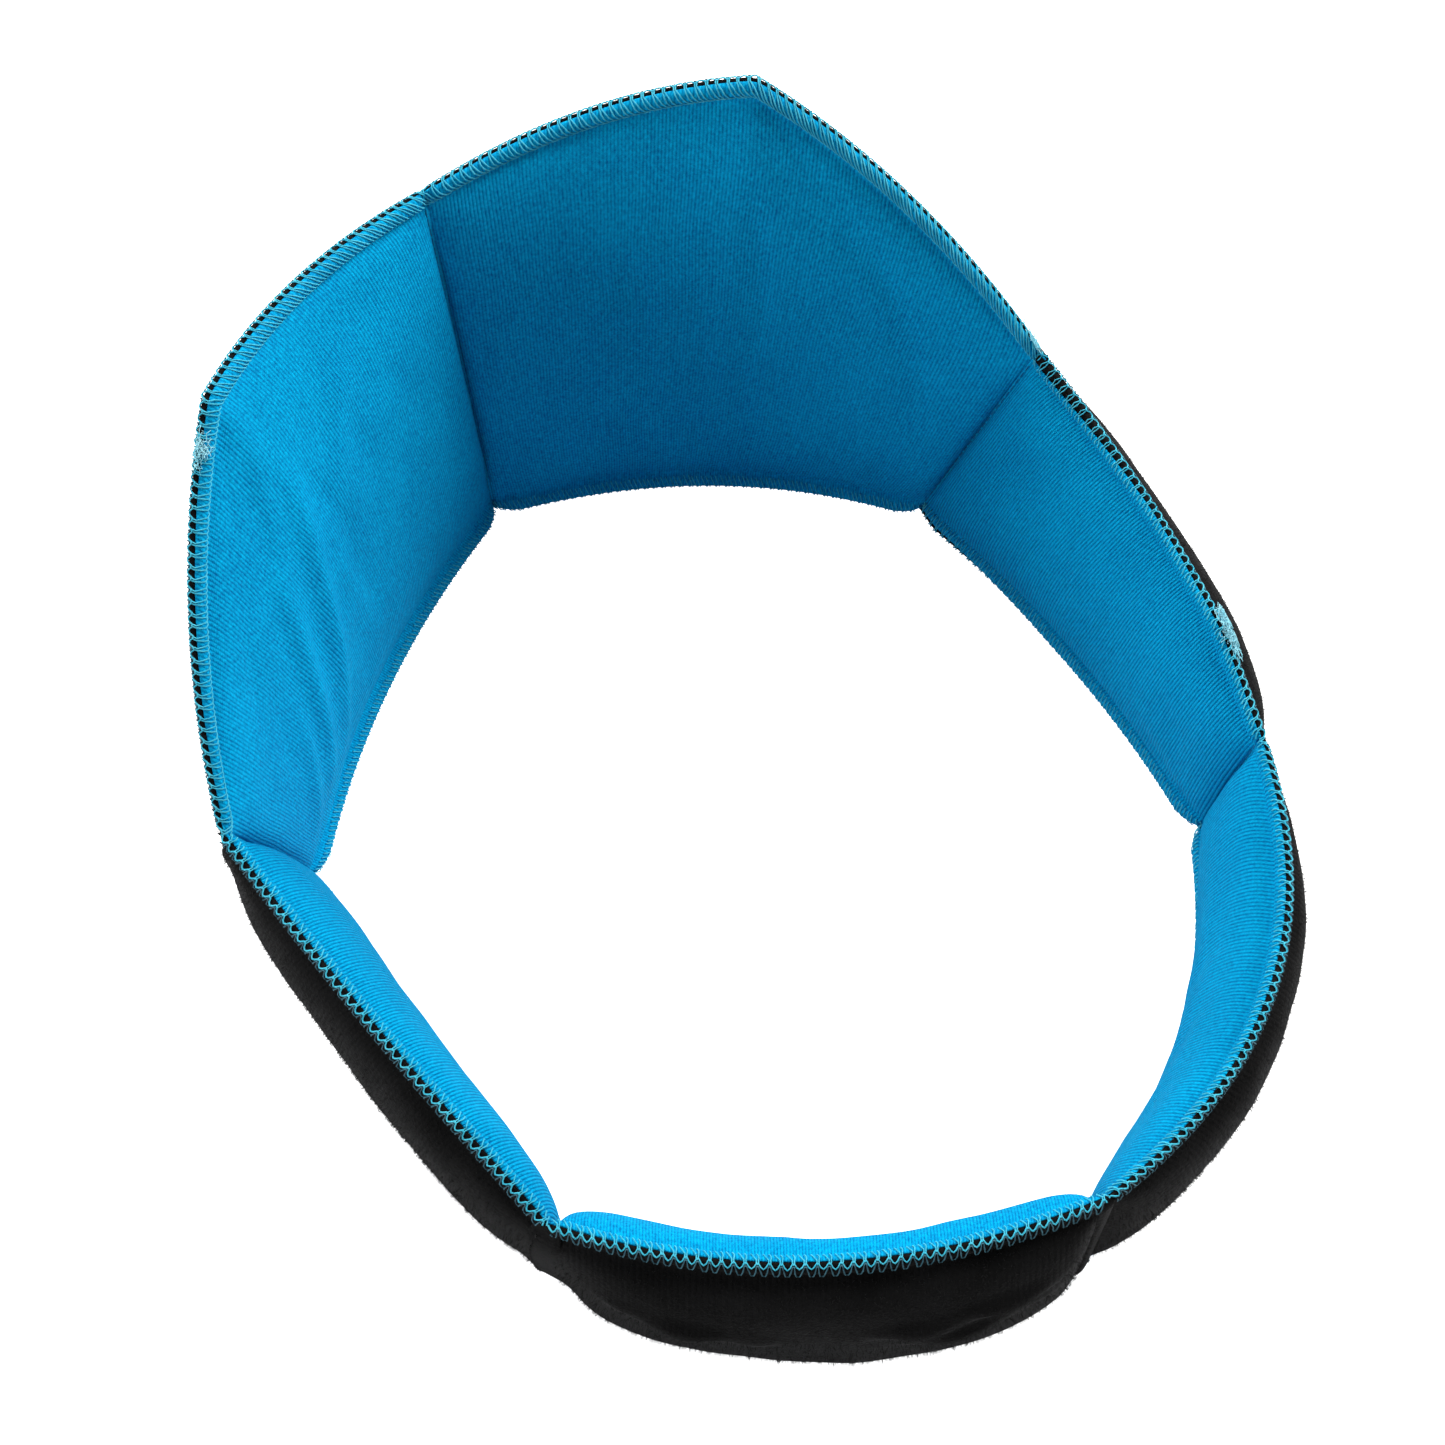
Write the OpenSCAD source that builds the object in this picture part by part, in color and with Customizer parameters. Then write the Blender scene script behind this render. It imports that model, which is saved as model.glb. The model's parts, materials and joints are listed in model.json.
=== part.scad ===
// Soft padded recovery collar for a dog: six foam-filled cloth pads sewn side by side into a strip,
// bent round into a ring that stands on its neck edge. The two tall pads meet at the centre seam (+Y),
// and the two low end pads close on each other (-Y), where a flat tongue lies behind a hook patch.
// Seams and pads are numbered clockwise from above, starting at the centre seam.

/* [Ring] */
// Width of one pad along the neck edge
pad_w = 100; // [85:1:125]
// Bend between the two tall pads at the centre seam, in degrees
centre_bend = 70; // [60:1:80]

/* [Heights] */
// Length of the centre seam
centre_seam_h = 102; // [80:1:125]
// Height of the rim corner in the middle of each tall pad
centre_peak_h = 114; // [85:1:140]
// Length of the shoulder seams, between the tall pads and the side pads
shoulder_seam_h = 69; // [55:1:85]
// Height of the rim corner near the low end of each side pad
side_corner_h = 55; // [45:1:68]
// Height of the end pads and of the seams beside them
end_h = 46; // [36:1:56]
// Place of the tall pads' rim corner, as a share of the pad's width
peak_at = 0.5; // [0.45:0.01:0.55]
// Place of the side pads' rim corner, as a share of the pad's width
side_corner_at = 0.76; // [0.72:0.01:0.82]

/* [Leans] */
// Outward lean of the centre seam, in degrees
centre_lean = 4; // [0:1:12]
// Outward lean of the shoulder seams, in degrees
shoulder_lean = 4; // [0:1:12]
// Outward lean of the seams between side pads and end pads, in degrees
end_lean = 3; // [0:1:12]
// Outward lean of the closure line, in degrees
closure_lean = -3; // [-8:1:8]
// Slant of the shoulder seams towards the end pads, in degrees
shoulder_slant = 16; // [0:1:20]
// Slant of the end pads' seams towards the closure, in degrees
end_slant = 2; // [0:1:8]

/* [Bows] */
// Outward bow of the right tall pad at its neck edge and its rim
centre_right_bow = [9, 23]; // [0:1:25]
// Outward bow of the right side pad at its neck edge and its rim
side_right_bow = [5, 3]; // [0:1:25]
// Outward bow of the right end pad at its neck edge and its rim
end_right_bow = [11, 16]; // [0:1:25]
// Outward bow of the left end pad at its neck edge and its rim
end_left_bow = [13, 9]; // [0:1:25]
// Outward bow of the left side pad at its neck edge and its rim
side_left_bow = [4, 1]; // [0:1:25]
// Outward bow of the left tall pad at its neck edge and its rim
centre_left_bow = [6, 16]; // [0:1:25]

/* [Cloth and filling] */
// Thickness of the cover and of the lining
cloth_t = 1.6; // [1.2:0.1:2.2]
// Half thickness of the foam in the middle of a pad
foam_half_t = 5.5; // [3:0.5:7]
// Depth of the overlocked edging along the rim and the neck
edging_h = 4.5; // [3:0.5:6]
// Distance from a seam line to the pads beside it
seam_gap = 1.8; // [1.6:0.1:2.4]
// Radius of the stitch line along a seam
stitch_r = 1.1; // [0.8:0.1:1.3]

/* [Closure] */
// Length of the tongue past the closure line
tongue_l = 32; // [24:1:34]
// Distance of the tongue from the neck edge and from the rim
tongue_margin = 7; // [5:1:10]
// Thickness of each cloth of the tongue
tongue_cloth_t = 1; // [0.8:0.1:1.2]
// Thickness of the hook patch
hook_t = 1.2; // [1:0.1:1.5]
// Clearance between the hook patch and the tongue
closure_clearance = 0.4; // [0.3:0.1:0.8]

/* [Hidden] */

// Pads, numbered by the seam they start at
CENTRE_RIGHT = 0;
SIDE_RIGHT = 1;
END_RIGHT = 2;
END_LEFT = 3;
SIDE_LEFT = 4;
CENTRE_LEFT = 5;
PAD_COUNT = 6;

// Share of the pad's width where the left end pad's cloth starts, and where its closing edge starts
closing_edge_end = 0.05;
closing_edge_start = 0.022;
// Shares of the left end pad's width over which its inner face swells, past the tongue
swell_start = 0.36;
swell_length = 0.2;
// Roundness of a pad's swelling: 2 is an ellipse, more is boxier
swell_power = 3;
// Half thickness of the cloth web that ties a stitch line to its pad
web_half_t = 0.5;
// How far a stitch line stops short of the neck edge and of the rim
stitch_inset = 2;
// Facets round a stitch line
stitch_sides = 12;
// Where the tongue starts past the closure line, and where its root bends round the pad's closing edge
tongue_start = 4.5;
tongue_root_bend = [1.9, -2.4];
// Direction in which the root leaves the stitch line, in degrees from the pad's own direction
tongue_root_turn = -37;
tongue_root_half_t = 0.3;
tongue_edging_w = 3;
// Margins of the hook patch inside the tongue's outline, and its height off the lining
hook_inset = 4;
hook_lift = 0.2;

velour_black = [0.03, 0.03, 0.035];
jersey_blue = [0.0, 0.45, 0.78];
foam_white = [0.9, 0.9, 0.86];
thread_aqua = [0.35, 0.78, 0.9];
hook_grey = [0.12, 0.12, 0.13];

function unit(v) = v / norm(v);
function flat(rows) = [for (row = rows) each row];
function clamp01(x) = min(1, max(0, x));

// Ring of seam points on the neck edge, on the floor
half_bend = centre_bend / 2;
seam_x = pad_w * cos(half_bend);
shoulder_y = pad_w / 2;
centre_y = shoulder_y + pad_w * sin(half_bend);
neck_seams = [
    [0, centre_y, 0], [seam_x, shoulder_y, 0], [seam_x, -shoulder_y, 0],
    [0, -centre_y, 0], [-seam_x, -shoulder_y, 0], [-seam_x, shoulder_y, 0]
];
seam_lengths = [centre_seam_h, shoulder_seam_h, end_h, end_h, end_h, shoulder_seam_h];
seam_leans = [centre_lean, shoulder_lean, end_lean, closure_lean, end_lean, shoulder_lean];
seam_slants = [0, shoulder_slant, end_slant, 0, -end_slant, -shoulder_slant];

function next(i) = (i + 1) % PAD_COUNT;
function previous(i) = (i + PAD_COUNT - 1) % PAD_COUNT;
// Direction along the ring at a seam, halfway between its two pads
function seam_along(i) = unit(
    unit(neck_seams[next(i)] - neck_seams[i]) + unit(neck_seams[i] - neck_seams[previous(i)]));
function seam_outward(i) = cross([0, 0, 1], seam_along(i));
function seam_direction(i) = unit(
    [0, 0, 1] + tan(seam_leans[i]) * seam_outward(i) + tan(seam_slants[i]) * seam_along(i));
rim_seams = [for (i = [0 : PAD_COUNT - 1]) neck_seams[i] + seam_lengths[i] * seam_direction(i)];

bows = [centre_right_bow, side_right_bow, end_right_bow, end_left_bow, side_left_bow, centre_left_bow];
// Rim corner of each pad: its place across the pad and its height
rim_corners = [
    [peak_at, centre_peak_h], [side_corner_at, side_corner_h], [0.5, end_h],
    [0.5, end_h], [1 - side_corner_at, side_corner_h], [1 - peak_at, centre_peak_h]
];
function rim_height(pad, u) = lookup(u, [
    [0, seam_lengths[pad]], rim_corners[pad], [1, seam_lengths[next(pad)]]]);

function mix(a, b, t) = a + (b - a) * t;
function swell_share(t) = sqrt(max(0, 1 - pow(abs(2 * t - 1), swell_power)));
// Straight line across a pad from neck to rim, before the bow
function chord_foot(pad, u) = mix(neck_seams[pad], neck_seams[next(pad)], u);
function chord_direction(pad, u) = unit(mix(rim_seams[pad], rim_seams[next(pad)], u) - chord_foot(pad, u));
function pad_outward(pad, u) = unit(
    cross(chord_direction(pad, u), neck_seams[next(pad)] - neck_seams[pad]));
function bow_share(u) = 4 * u * (1 - u);
function neck_point(pad, u) = chord_foot(pad, u) + bows[pad][0] * bow_share(u) * pad_outward(pad, u);
function rim_point(pad, u) = chord_foot(pad, u) + rim_height(pad, u) * chord_direction(pad, u)
    + bows[pad][1] * bow_share(u) * pad_outward(pad, u);

// Point on a pad's middle surface, height along the cloth from the neck edge and distance outwards
function cloth_point(pad, u, height, out) =
    let (foot = neck_point(pad, u), top = rim_point(pad, u))
    foot + unit(top - foot) * height + out * pad_outward(pad, u);
function cloth_length(pad, u) = norm(rim_point(pad, u) - neck_point(pad, u));

// The places across and up a pad at which its surfaces are drawn
function pad_start(pad) = pad == END_LEFT ? closing_edge_end : seam_gap / pad_w;
function across(pad) = [
    pad_start(pad), pad == END_LEFT ? 0.1 : 0.07, 0.15, 1 - side_corner_at, 0.33, 0.42, peak_at,
    0.58, 0.67, side_corner_at, 0.85, 0.93, 1 - seam_gap / pad_w
];
UP = [0, 0.08, 0.25, 0.5, 0.75, 0.92, 1];
function inside(list) = [for (i = [1 : len(list) - 2]) list[i]];

// Half thickness of the filling on the outer side, and on the inner side
function swell_out(pad, u, v) =
    u <= pad_start(pad) || u >= 1 - seam_gap / pad_w ? 0 : foam_half_t * swell_share(u) * swell_share(v);
function swell_in(pad, u, v) =
    swell_out(pad, u, v) * (pad == END_LEFT ? clamp01((u - swell_start) / swell_length) : 1);
function pad_height(pad, u, v) = mix(edging_h, cloth_length(pad, u) - edging_h, v);
function pad_layer(pad, us, vs, out_side, extra) = [for (v = vs) [for (u = us)
    cloth_point(pad, u, pad_height(pad, u, v),
        out_side ? swell_out(pad, u, v) + extra : -swell_in(pad, u, v) - extra)]];

// The ring is placed so that the box round its covers is centred on the origin
function box_middle(axis) =
    let (values = [
        for (pad = [0 : PAD_COUNT - 1])
            for (row = pad_layer(pad, across(pad), UP, true, cloth_t))
                for (p = row) p[axis]
    ])
    (min(values) + max(values)) / 2;
ring_middle = [box_middle(0), box_middle(1), 0];

// Closed solid between an outer and an inner sheet of points, each a list of rows from neck to rim
module sheet_solid(outer, inner) {
    rows = len(outer);
    columns = len(outer[0]);
    count = rows * columns;
    function at(row, column) = row * columns + column;
    outer_faces = [for (r = [0 : rows - 2], c = [0 : columns - 2])
        each [[at(r, c), at(r + 1, c + 1), at(r + 1, c)], [at(r, c), at(r, c + 1), at(r + 1, c + 1)]]];
    inner_faces = [for (f = outer_faces) [f[2] + count, f[1] + count, f[0] + count]];
    loop = concat(
        [for (c = [0 : columns - 1]) at(0, c)],
        [for (r = [1 : rows - 1]) at(r, columns - 1)],
        [for (c = [columns - 2 : -1 : 0]) at(rows - 1, c)],
        [for (r = [rows - 2 : -1 : 1]) at(r, 0)]);
    side_faces = [for (i = [0 : len(loop) - 1])
        let (a = loop[i], b = loop[(i + 1) % len(loop)])
        each [[b, a, a + count], [b, a + count, b + count]]];
    translate(-ring_middle)
        polyhedron(points = concat(flat(outer), flat(inner)),
            faces = concat(outer_faces, inner_faces, side_faces));
}

// Flat end of a swept solid, as strips between the outline's two halves
function cap_faces(sides) = [for (a = [0 : ceil(sides / 2) - 2])
    let (b = a + 1, c = sides - 2 - a, d = sides - 1 - a)
    each b == c ? [[a, b, d]] : [[a, b, c], [a, c, d]]];

// Solid swept along a pad's width from a closed outline of [height, out] points at each place
module band_solid(rings) {
    sides = len(rings[0]);
    last = len(rings) - 1;
    skin = [for (i = [0 : last - 1], j = [0 : sides - 1])
        let (a = i * sides + j, b = i * sides + (j + 1) % sides)
        each [[b, a, a + sides], [b, a + sides, b + sides]]];
    start_cap = cap_faces(sides);
    end_cap = [for (face = start_cap) [for (k = [len(face) - 1 : -1 : 0]) last * sides + face[k]]];
    translate(-ring_middle)
        polyhedron(points = flat(rings), faces = concat(skin, start_cap, end_cap));
}

module cover(pad) {
    color(velour_black)
        sheet_solid(pad_layer(pad, across(pad), UP, true, cloth_t), pad_layer(pad, across(pad), UP, true, 0));
}

module lining(pad) {
    color(jersey_blue)
        sheet_solid(pad_layer(pad, across(pad), UP, false, 0), pad_layer(pad, across(pad), UP, false, cloth_t));
}

module foam(pad) {
    us = inside(across(pad));
    vs = inside(UP);
    color(foam_white) sheet_solid(pad_layer(pad, us, vs, true, 0), pad_layer(pad, us, vs, false, 0));
}

// Outline of the overlocked edging, from the cloth's edge (0) to its rounded lip (edging_h)
edging_outline = [
    [0, -cloth_t], [0, cloth_t], [edging_h * 0.6, cloth_t],
    [edging_h, cloth_t * 0.5], [edging_h, -cloth_t * 0.5], [edging_h * 0.6, -cloth_t]
];

module rim_edging(pad) {
    color(thread_aqua) band_solid([for (u = across(pad))
        let (base = cloth_length(pad, u) - edging_h)
        [for (p = edging_outline) cloth_point(pad, u, base + p[0], p[1])]]);
}

module neck_edging(pad) {
    color(thread_aqua) band_solid([for (u = across(pad))
        [for (p = edging_outline) cloth_point(pad, u, edging_h - p[0], -p[1])]]);
}

// Round stitch line along a seam, with the pressed cloth that ties it to the pad it belongs to
module seam(i, pad) {
    at_start = pad == i;
    line = at_start ? 0 : 1;
    edge = at_start ? pad_start(pad) : 1 - seam_gap / pad_w;
    toward = unit(neck_seams[at_start ? next(i) : previous(i)] - neck_seams[i]);
    out = pad_outward(pad, line);
    web_angle = asin(web_half_t / stitch_r);
    angles = [for (k = [0 : stitch_sides]) mix(web_angle, 360 - web_angle, k / stitch_sides)];
    function ring(height) =
        let (middle = neck_seams[i] + height * seam_direction(i),
            points = [
                cloth_point(pad, edge, height, web_half_t),
                for (a = angles) middle + stitch_r * (cos(a) * toward + sin(a) * out),
                cloth_point(pad, edge, height, -web_half_t)
            ],
            last = len(points) - 1)
        at_start ? points : [for (k = [last : -1 : 0]) points[k]];
    color(thread_aqua) band_solid([ring(stitch_inset), ring(seam_lengths[i] - stitch_inset)]);
}

// The tongue lies along the inner face of the left end pad, inside its hook patch
hook_base = -cloth_t - hook_lift;
tongue_out = hook_base - hook_t - closure_clearance;
tongue_end = tongue_l / pad_w;
tongue_across = [for (i = [0 : 4]) mix(tongue_start, tongue_l, i / 4) / pad_w];
tongue_up = [tongue_margin, end_h / 2, end_h - tongue_margin];

function tongue_sheet(us, heights, out) = [for (h = heights) [for (u = us) cloth_point(END_LEFT, u, h, out)]];

module tongue_cover() {
    color(velour_black) sheet_solid(tongue_sheet(tongue_across, tongue_up, tongue_out),
        tongue_sheet(tongue_across, tongue_up, tongue_out - tongue_cloth_t));
}

module tongue_lining() {
    color(jersey_blue) sheet_solid(tongue_sheet(tongue_across, tongue_up, tongue_out - tongue_cloth_t),
        tongue_sheet(tongue_across, tongue_up, tongue_out - 2 * tongue_cloth_t));
}

module tongue_edging() {
    us = [tongue_end, tongue_end + tongue_edging_w / pad_w];
    color(thread_aqua) sheet_solid(tongue_sheet(us, tongue_up, tongue_out),
        tongue_sheet(us, tongue_up, tongue_out - 2 * tongue_cloth_t));
}

// Stitch line at the closure, with the thin root that leads the tongue round the pad's closing edge
module tongue_seam() {
    toward = unit(neck_seams[next(END_LEFT)] - neck_seams[END_LEFT]);
    out = pad_outward(END_LEFT, 0);
    root_angle = asin(tongue_root_half_t / stitch_r);
    angles = [for (k = [0 : stitch_sides]) tongue_root_turn + mix(root_angle, 360 - root_angle, k / stitch_sides)];
    root = [[tongue_start, tongue_out - tongue_cloth_t], tongue_root_bend];
    function root_point(p, height, shift) = cloth_point(END_LEFT, p[0] / pad_w, height, p[1] + shift);
    function ring(height) =
        let (middle = neck_seams[END_LEFT] + height * seam_direction(END_LEFT))
        [
            for (p = root) root_point(p, height, tongue_root_half_t),
            for (a = angles) middle + stitch_r * (cos(a) * toward + sin(a) * out),
            for (k = [1, 0]) root_point(root[k], height, -tongue_root_half_t)
        ];
    color(thread_aqua) band_solid([ring(tongue_margin), ring(end_h - tongue_margin)]);
}

module hook_patch() {
    us = [for (i = [0 : 3]) mix(tongue_start + hook_inset, tongue_l - hook_inset, i / 3) / pad_w];
    heights = [tongue_margin + hook_inset, end_h - tongue_margin - hook_inset];
    color(hook_grey) sheet_solid(
        [for (h = heights) [for (u = us) cloth_point(END_LEFT, u, h, hook_base)]],
        [for (h = heights) [for (u = us) cloth_point(END_LEFT, u, h, hook_base - hook_t)]]);
}

module end_left_closing_edge() {
    us = [closing_edge_start, closing_edge_end];
    function edge_sheet(out) = [for (v = [0, 1]) [for (u = us)
        cloth_point(END_LEFT, u, pad_height(END_LEFT, u, v), out)]];
    color(thread_aqua) sheet_solid(edge_sheet(cloth_t), edge_sheet(-cloth_t));
}

module centre_right_cover() { cover(CENTRE_RIGHT); }
module centre_right_lining() { lining(CENTRE_RIGHT); }
module centre_right_foam() { foam(CENTRE_RIGHT); }
module centre_right_rim_edging() { rim_edging(CENTRE_RIGHT); }
module centre_right_neck_edging() { neck_edging(CENTRE_RIGHT); }
module side_right_cover() { cover(SIDE_RIGHT); }
module side_right_lining() { lining(SIDE_RIGHT); }
module side_right_foam() { foam(SIDE_RIGHT); }
module side_right_rim_edging() { rim_edging(SIDE_RIGHT); }
module side_right_neck_edging() { neck_edging(SIDE_RIGHT); }
module end_right_cover() { cover(END_RIGHT); }
module end_right_lining() { lining(END_RIGHT); }
module end_right_foam() { foam(END_RIGHT); }
module end_right_rim_edging() { rim_edging(END_RIGHT); }
module end_right_neck_edging() { neck_edging(END_RIGHT); }
module end_left_cover() { cover(END_LEFT); }
module end_left_lining() { lining(END_LEFT); }
module end_left_foam() { foam(END_LEFT); }
module end_left_rim_edging() { rim_edging(END_LEFT); }
module end_left_neck_edging() { neck_edging(END_LEFT); }
module side_left_cover() { cover(SIDE_LEFT); }
module side_left_lining() { lining(SIDE_LEFT); }
module side_left_foam() { foam(SIDE_LEFT); }
module side_left_rim_edging() { rim_edging(SIDE_LEFT); }
module side_left_neck_edging() { neck_edging(SIDE_LEFT); }
module centre_left_cover() { cover(CENTRE_LEFT); }
module centre_left_lining() { lining(CENTRE_LEFT); }
module centre_left_foam() { foam(CENTRE_LEFT); }
module centre_left_rim_edging() { rim_edging(CENTRE_LEFT); }
module centre_left_neck_edging() { neck_edging(CENTRE_LEFT); }
module centre_seam() { seam(0, CENTRE_RIGHT); }
module right_shoulder_seam() { seam(1, CENTRE_RIGHT); }
module right_end_seam() { seam(2, SIDE_RIGHT); }
module left_end_seam() { seam(4, SIDE_LEFT); }
module left_shoulder_seam() { seam(5, CENTRE_LEFT); }

centre_right_cover();
centre_right_lining();
centre_right_foam();
centre_right_rim_edging();
centre_right_neck_edging();
side_right_cover();
side_right_lining();
side_right_foam();
side_right_rim_edging();
side_right_neck_edging();
end_right_cover();
end_right_lining();
end_right_foam();
end_right_rim_edging();
end_right_neck_edging();
end_left_cover();
end_left_lining();
end_left_foam();
end_left_rim_edging();
end_left_neck_edging();
side_left_cover();
side_left_lining();
side_left_foam();
side_left_rim_edging();
side_left_neck_edging();
centre_left_cover();
centre_left_lining();
centre_left_foam();
centre_left_rim_edging();
centre_left_neck_edging();
centre_seam();
right_shoulder_seam();
right_end_seam();
left_end_seam();
left_shoulder_seam();
tongue_seam();
tongue_cover();
tongue_lining();
tongue_edging();
hook_patch();
end_left_closing_edge();
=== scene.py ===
"""Looks of a soft padded recovery collar: six foam-filled cloth pads in a ring round a dog's neck.

Each pad is a jersey lining and a velour cover round a foam insert, overlocked along its rim and its neck edge
and stitched to its neighbours. The two end pads close on each other with a tongue behind a hook patch.
"""

from __future__ import annotations

import json
import logging
import math
import random
from dataclasses import dataclass, field
from enum import Enum, IntEnum
from typing import Callable, Iterable, Sequence

import bmesh
import bpy
import numpy as np
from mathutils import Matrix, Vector, noise

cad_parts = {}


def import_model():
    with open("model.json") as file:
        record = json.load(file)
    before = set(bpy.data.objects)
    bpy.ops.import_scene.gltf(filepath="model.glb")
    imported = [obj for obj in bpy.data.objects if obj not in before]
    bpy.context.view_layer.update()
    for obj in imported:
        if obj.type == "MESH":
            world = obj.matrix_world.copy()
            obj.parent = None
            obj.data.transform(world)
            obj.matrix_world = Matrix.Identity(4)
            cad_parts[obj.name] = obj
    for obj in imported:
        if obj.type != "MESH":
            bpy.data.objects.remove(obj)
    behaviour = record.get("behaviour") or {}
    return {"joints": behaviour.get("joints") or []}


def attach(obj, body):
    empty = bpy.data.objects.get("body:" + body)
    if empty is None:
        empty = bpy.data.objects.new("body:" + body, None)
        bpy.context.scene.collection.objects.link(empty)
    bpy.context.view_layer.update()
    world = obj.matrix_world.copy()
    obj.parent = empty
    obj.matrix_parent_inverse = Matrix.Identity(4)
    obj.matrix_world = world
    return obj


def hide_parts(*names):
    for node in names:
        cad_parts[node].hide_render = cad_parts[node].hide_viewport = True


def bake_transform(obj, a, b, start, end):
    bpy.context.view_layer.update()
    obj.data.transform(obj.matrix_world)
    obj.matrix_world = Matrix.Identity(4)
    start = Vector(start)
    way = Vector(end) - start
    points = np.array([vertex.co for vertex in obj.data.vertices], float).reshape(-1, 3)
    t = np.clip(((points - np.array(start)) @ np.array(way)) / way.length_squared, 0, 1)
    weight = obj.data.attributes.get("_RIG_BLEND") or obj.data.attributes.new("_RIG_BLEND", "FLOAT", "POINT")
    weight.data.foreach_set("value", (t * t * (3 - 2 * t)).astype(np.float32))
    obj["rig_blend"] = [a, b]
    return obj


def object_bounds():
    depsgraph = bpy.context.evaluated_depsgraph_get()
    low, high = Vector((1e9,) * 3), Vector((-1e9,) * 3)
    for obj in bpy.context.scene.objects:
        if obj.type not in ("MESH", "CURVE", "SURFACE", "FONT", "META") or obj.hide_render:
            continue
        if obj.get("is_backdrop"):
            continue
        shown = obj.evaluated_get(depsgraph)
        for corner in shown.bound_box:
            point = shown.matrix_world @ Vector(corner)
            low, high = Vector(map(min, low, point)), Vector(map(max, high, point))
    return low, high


LOG = logging.getLogger("collar")
MM = 0.001
UP_AXIS = Vector((0, 0, 1))


# ---------------------------------------------------------------------------------------------------------
# Shape of the ring
# ---------------------------------------------------------------------------------------------------------


class Pad(IntEnum):
    """The pads clockwise from above, numbered by the seam they start at."""

    CENTRE_RIGHT = 0
    SIDE_RIGHT = 1
    END_RIGHT = 2
    END_LEFT = 3
    SIDE_LEFT = 4
    CENTRE_LEFT = 5

    @property
    def body(self) -> str:
        """Name of the body that the pad moves with."""
        return self.name.lower()


class Face(Enum):
    """The two cloth faces of a pad, with the side of the pad's middle that each lies on."""

    COVER = 1
    LINING = -1


class Edge(Enum):
    """The two overlocked edges of a pad."""

    NECK = "neck"
    RIM = "rim"


@dataclass(frozen=True)
class PadCut:
    """How one pad is cut and bowed.

    Args:
        neck_bow: outward bow of the neck edge, in metres.
        rim_bow: outward bow of the rim.
        corner_at: place of the rim's corner, as a share of the pad's width.
        corner_height: height of that corner.
        start: share of the width where the cloth starts.
        end: share of the width where the cloth ends.
    """

    neck_bow: float
    rim_bow: float
    corner_at: float
    corner_height: float
    start: float = 0.004
    end: float = 0.996


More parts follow.
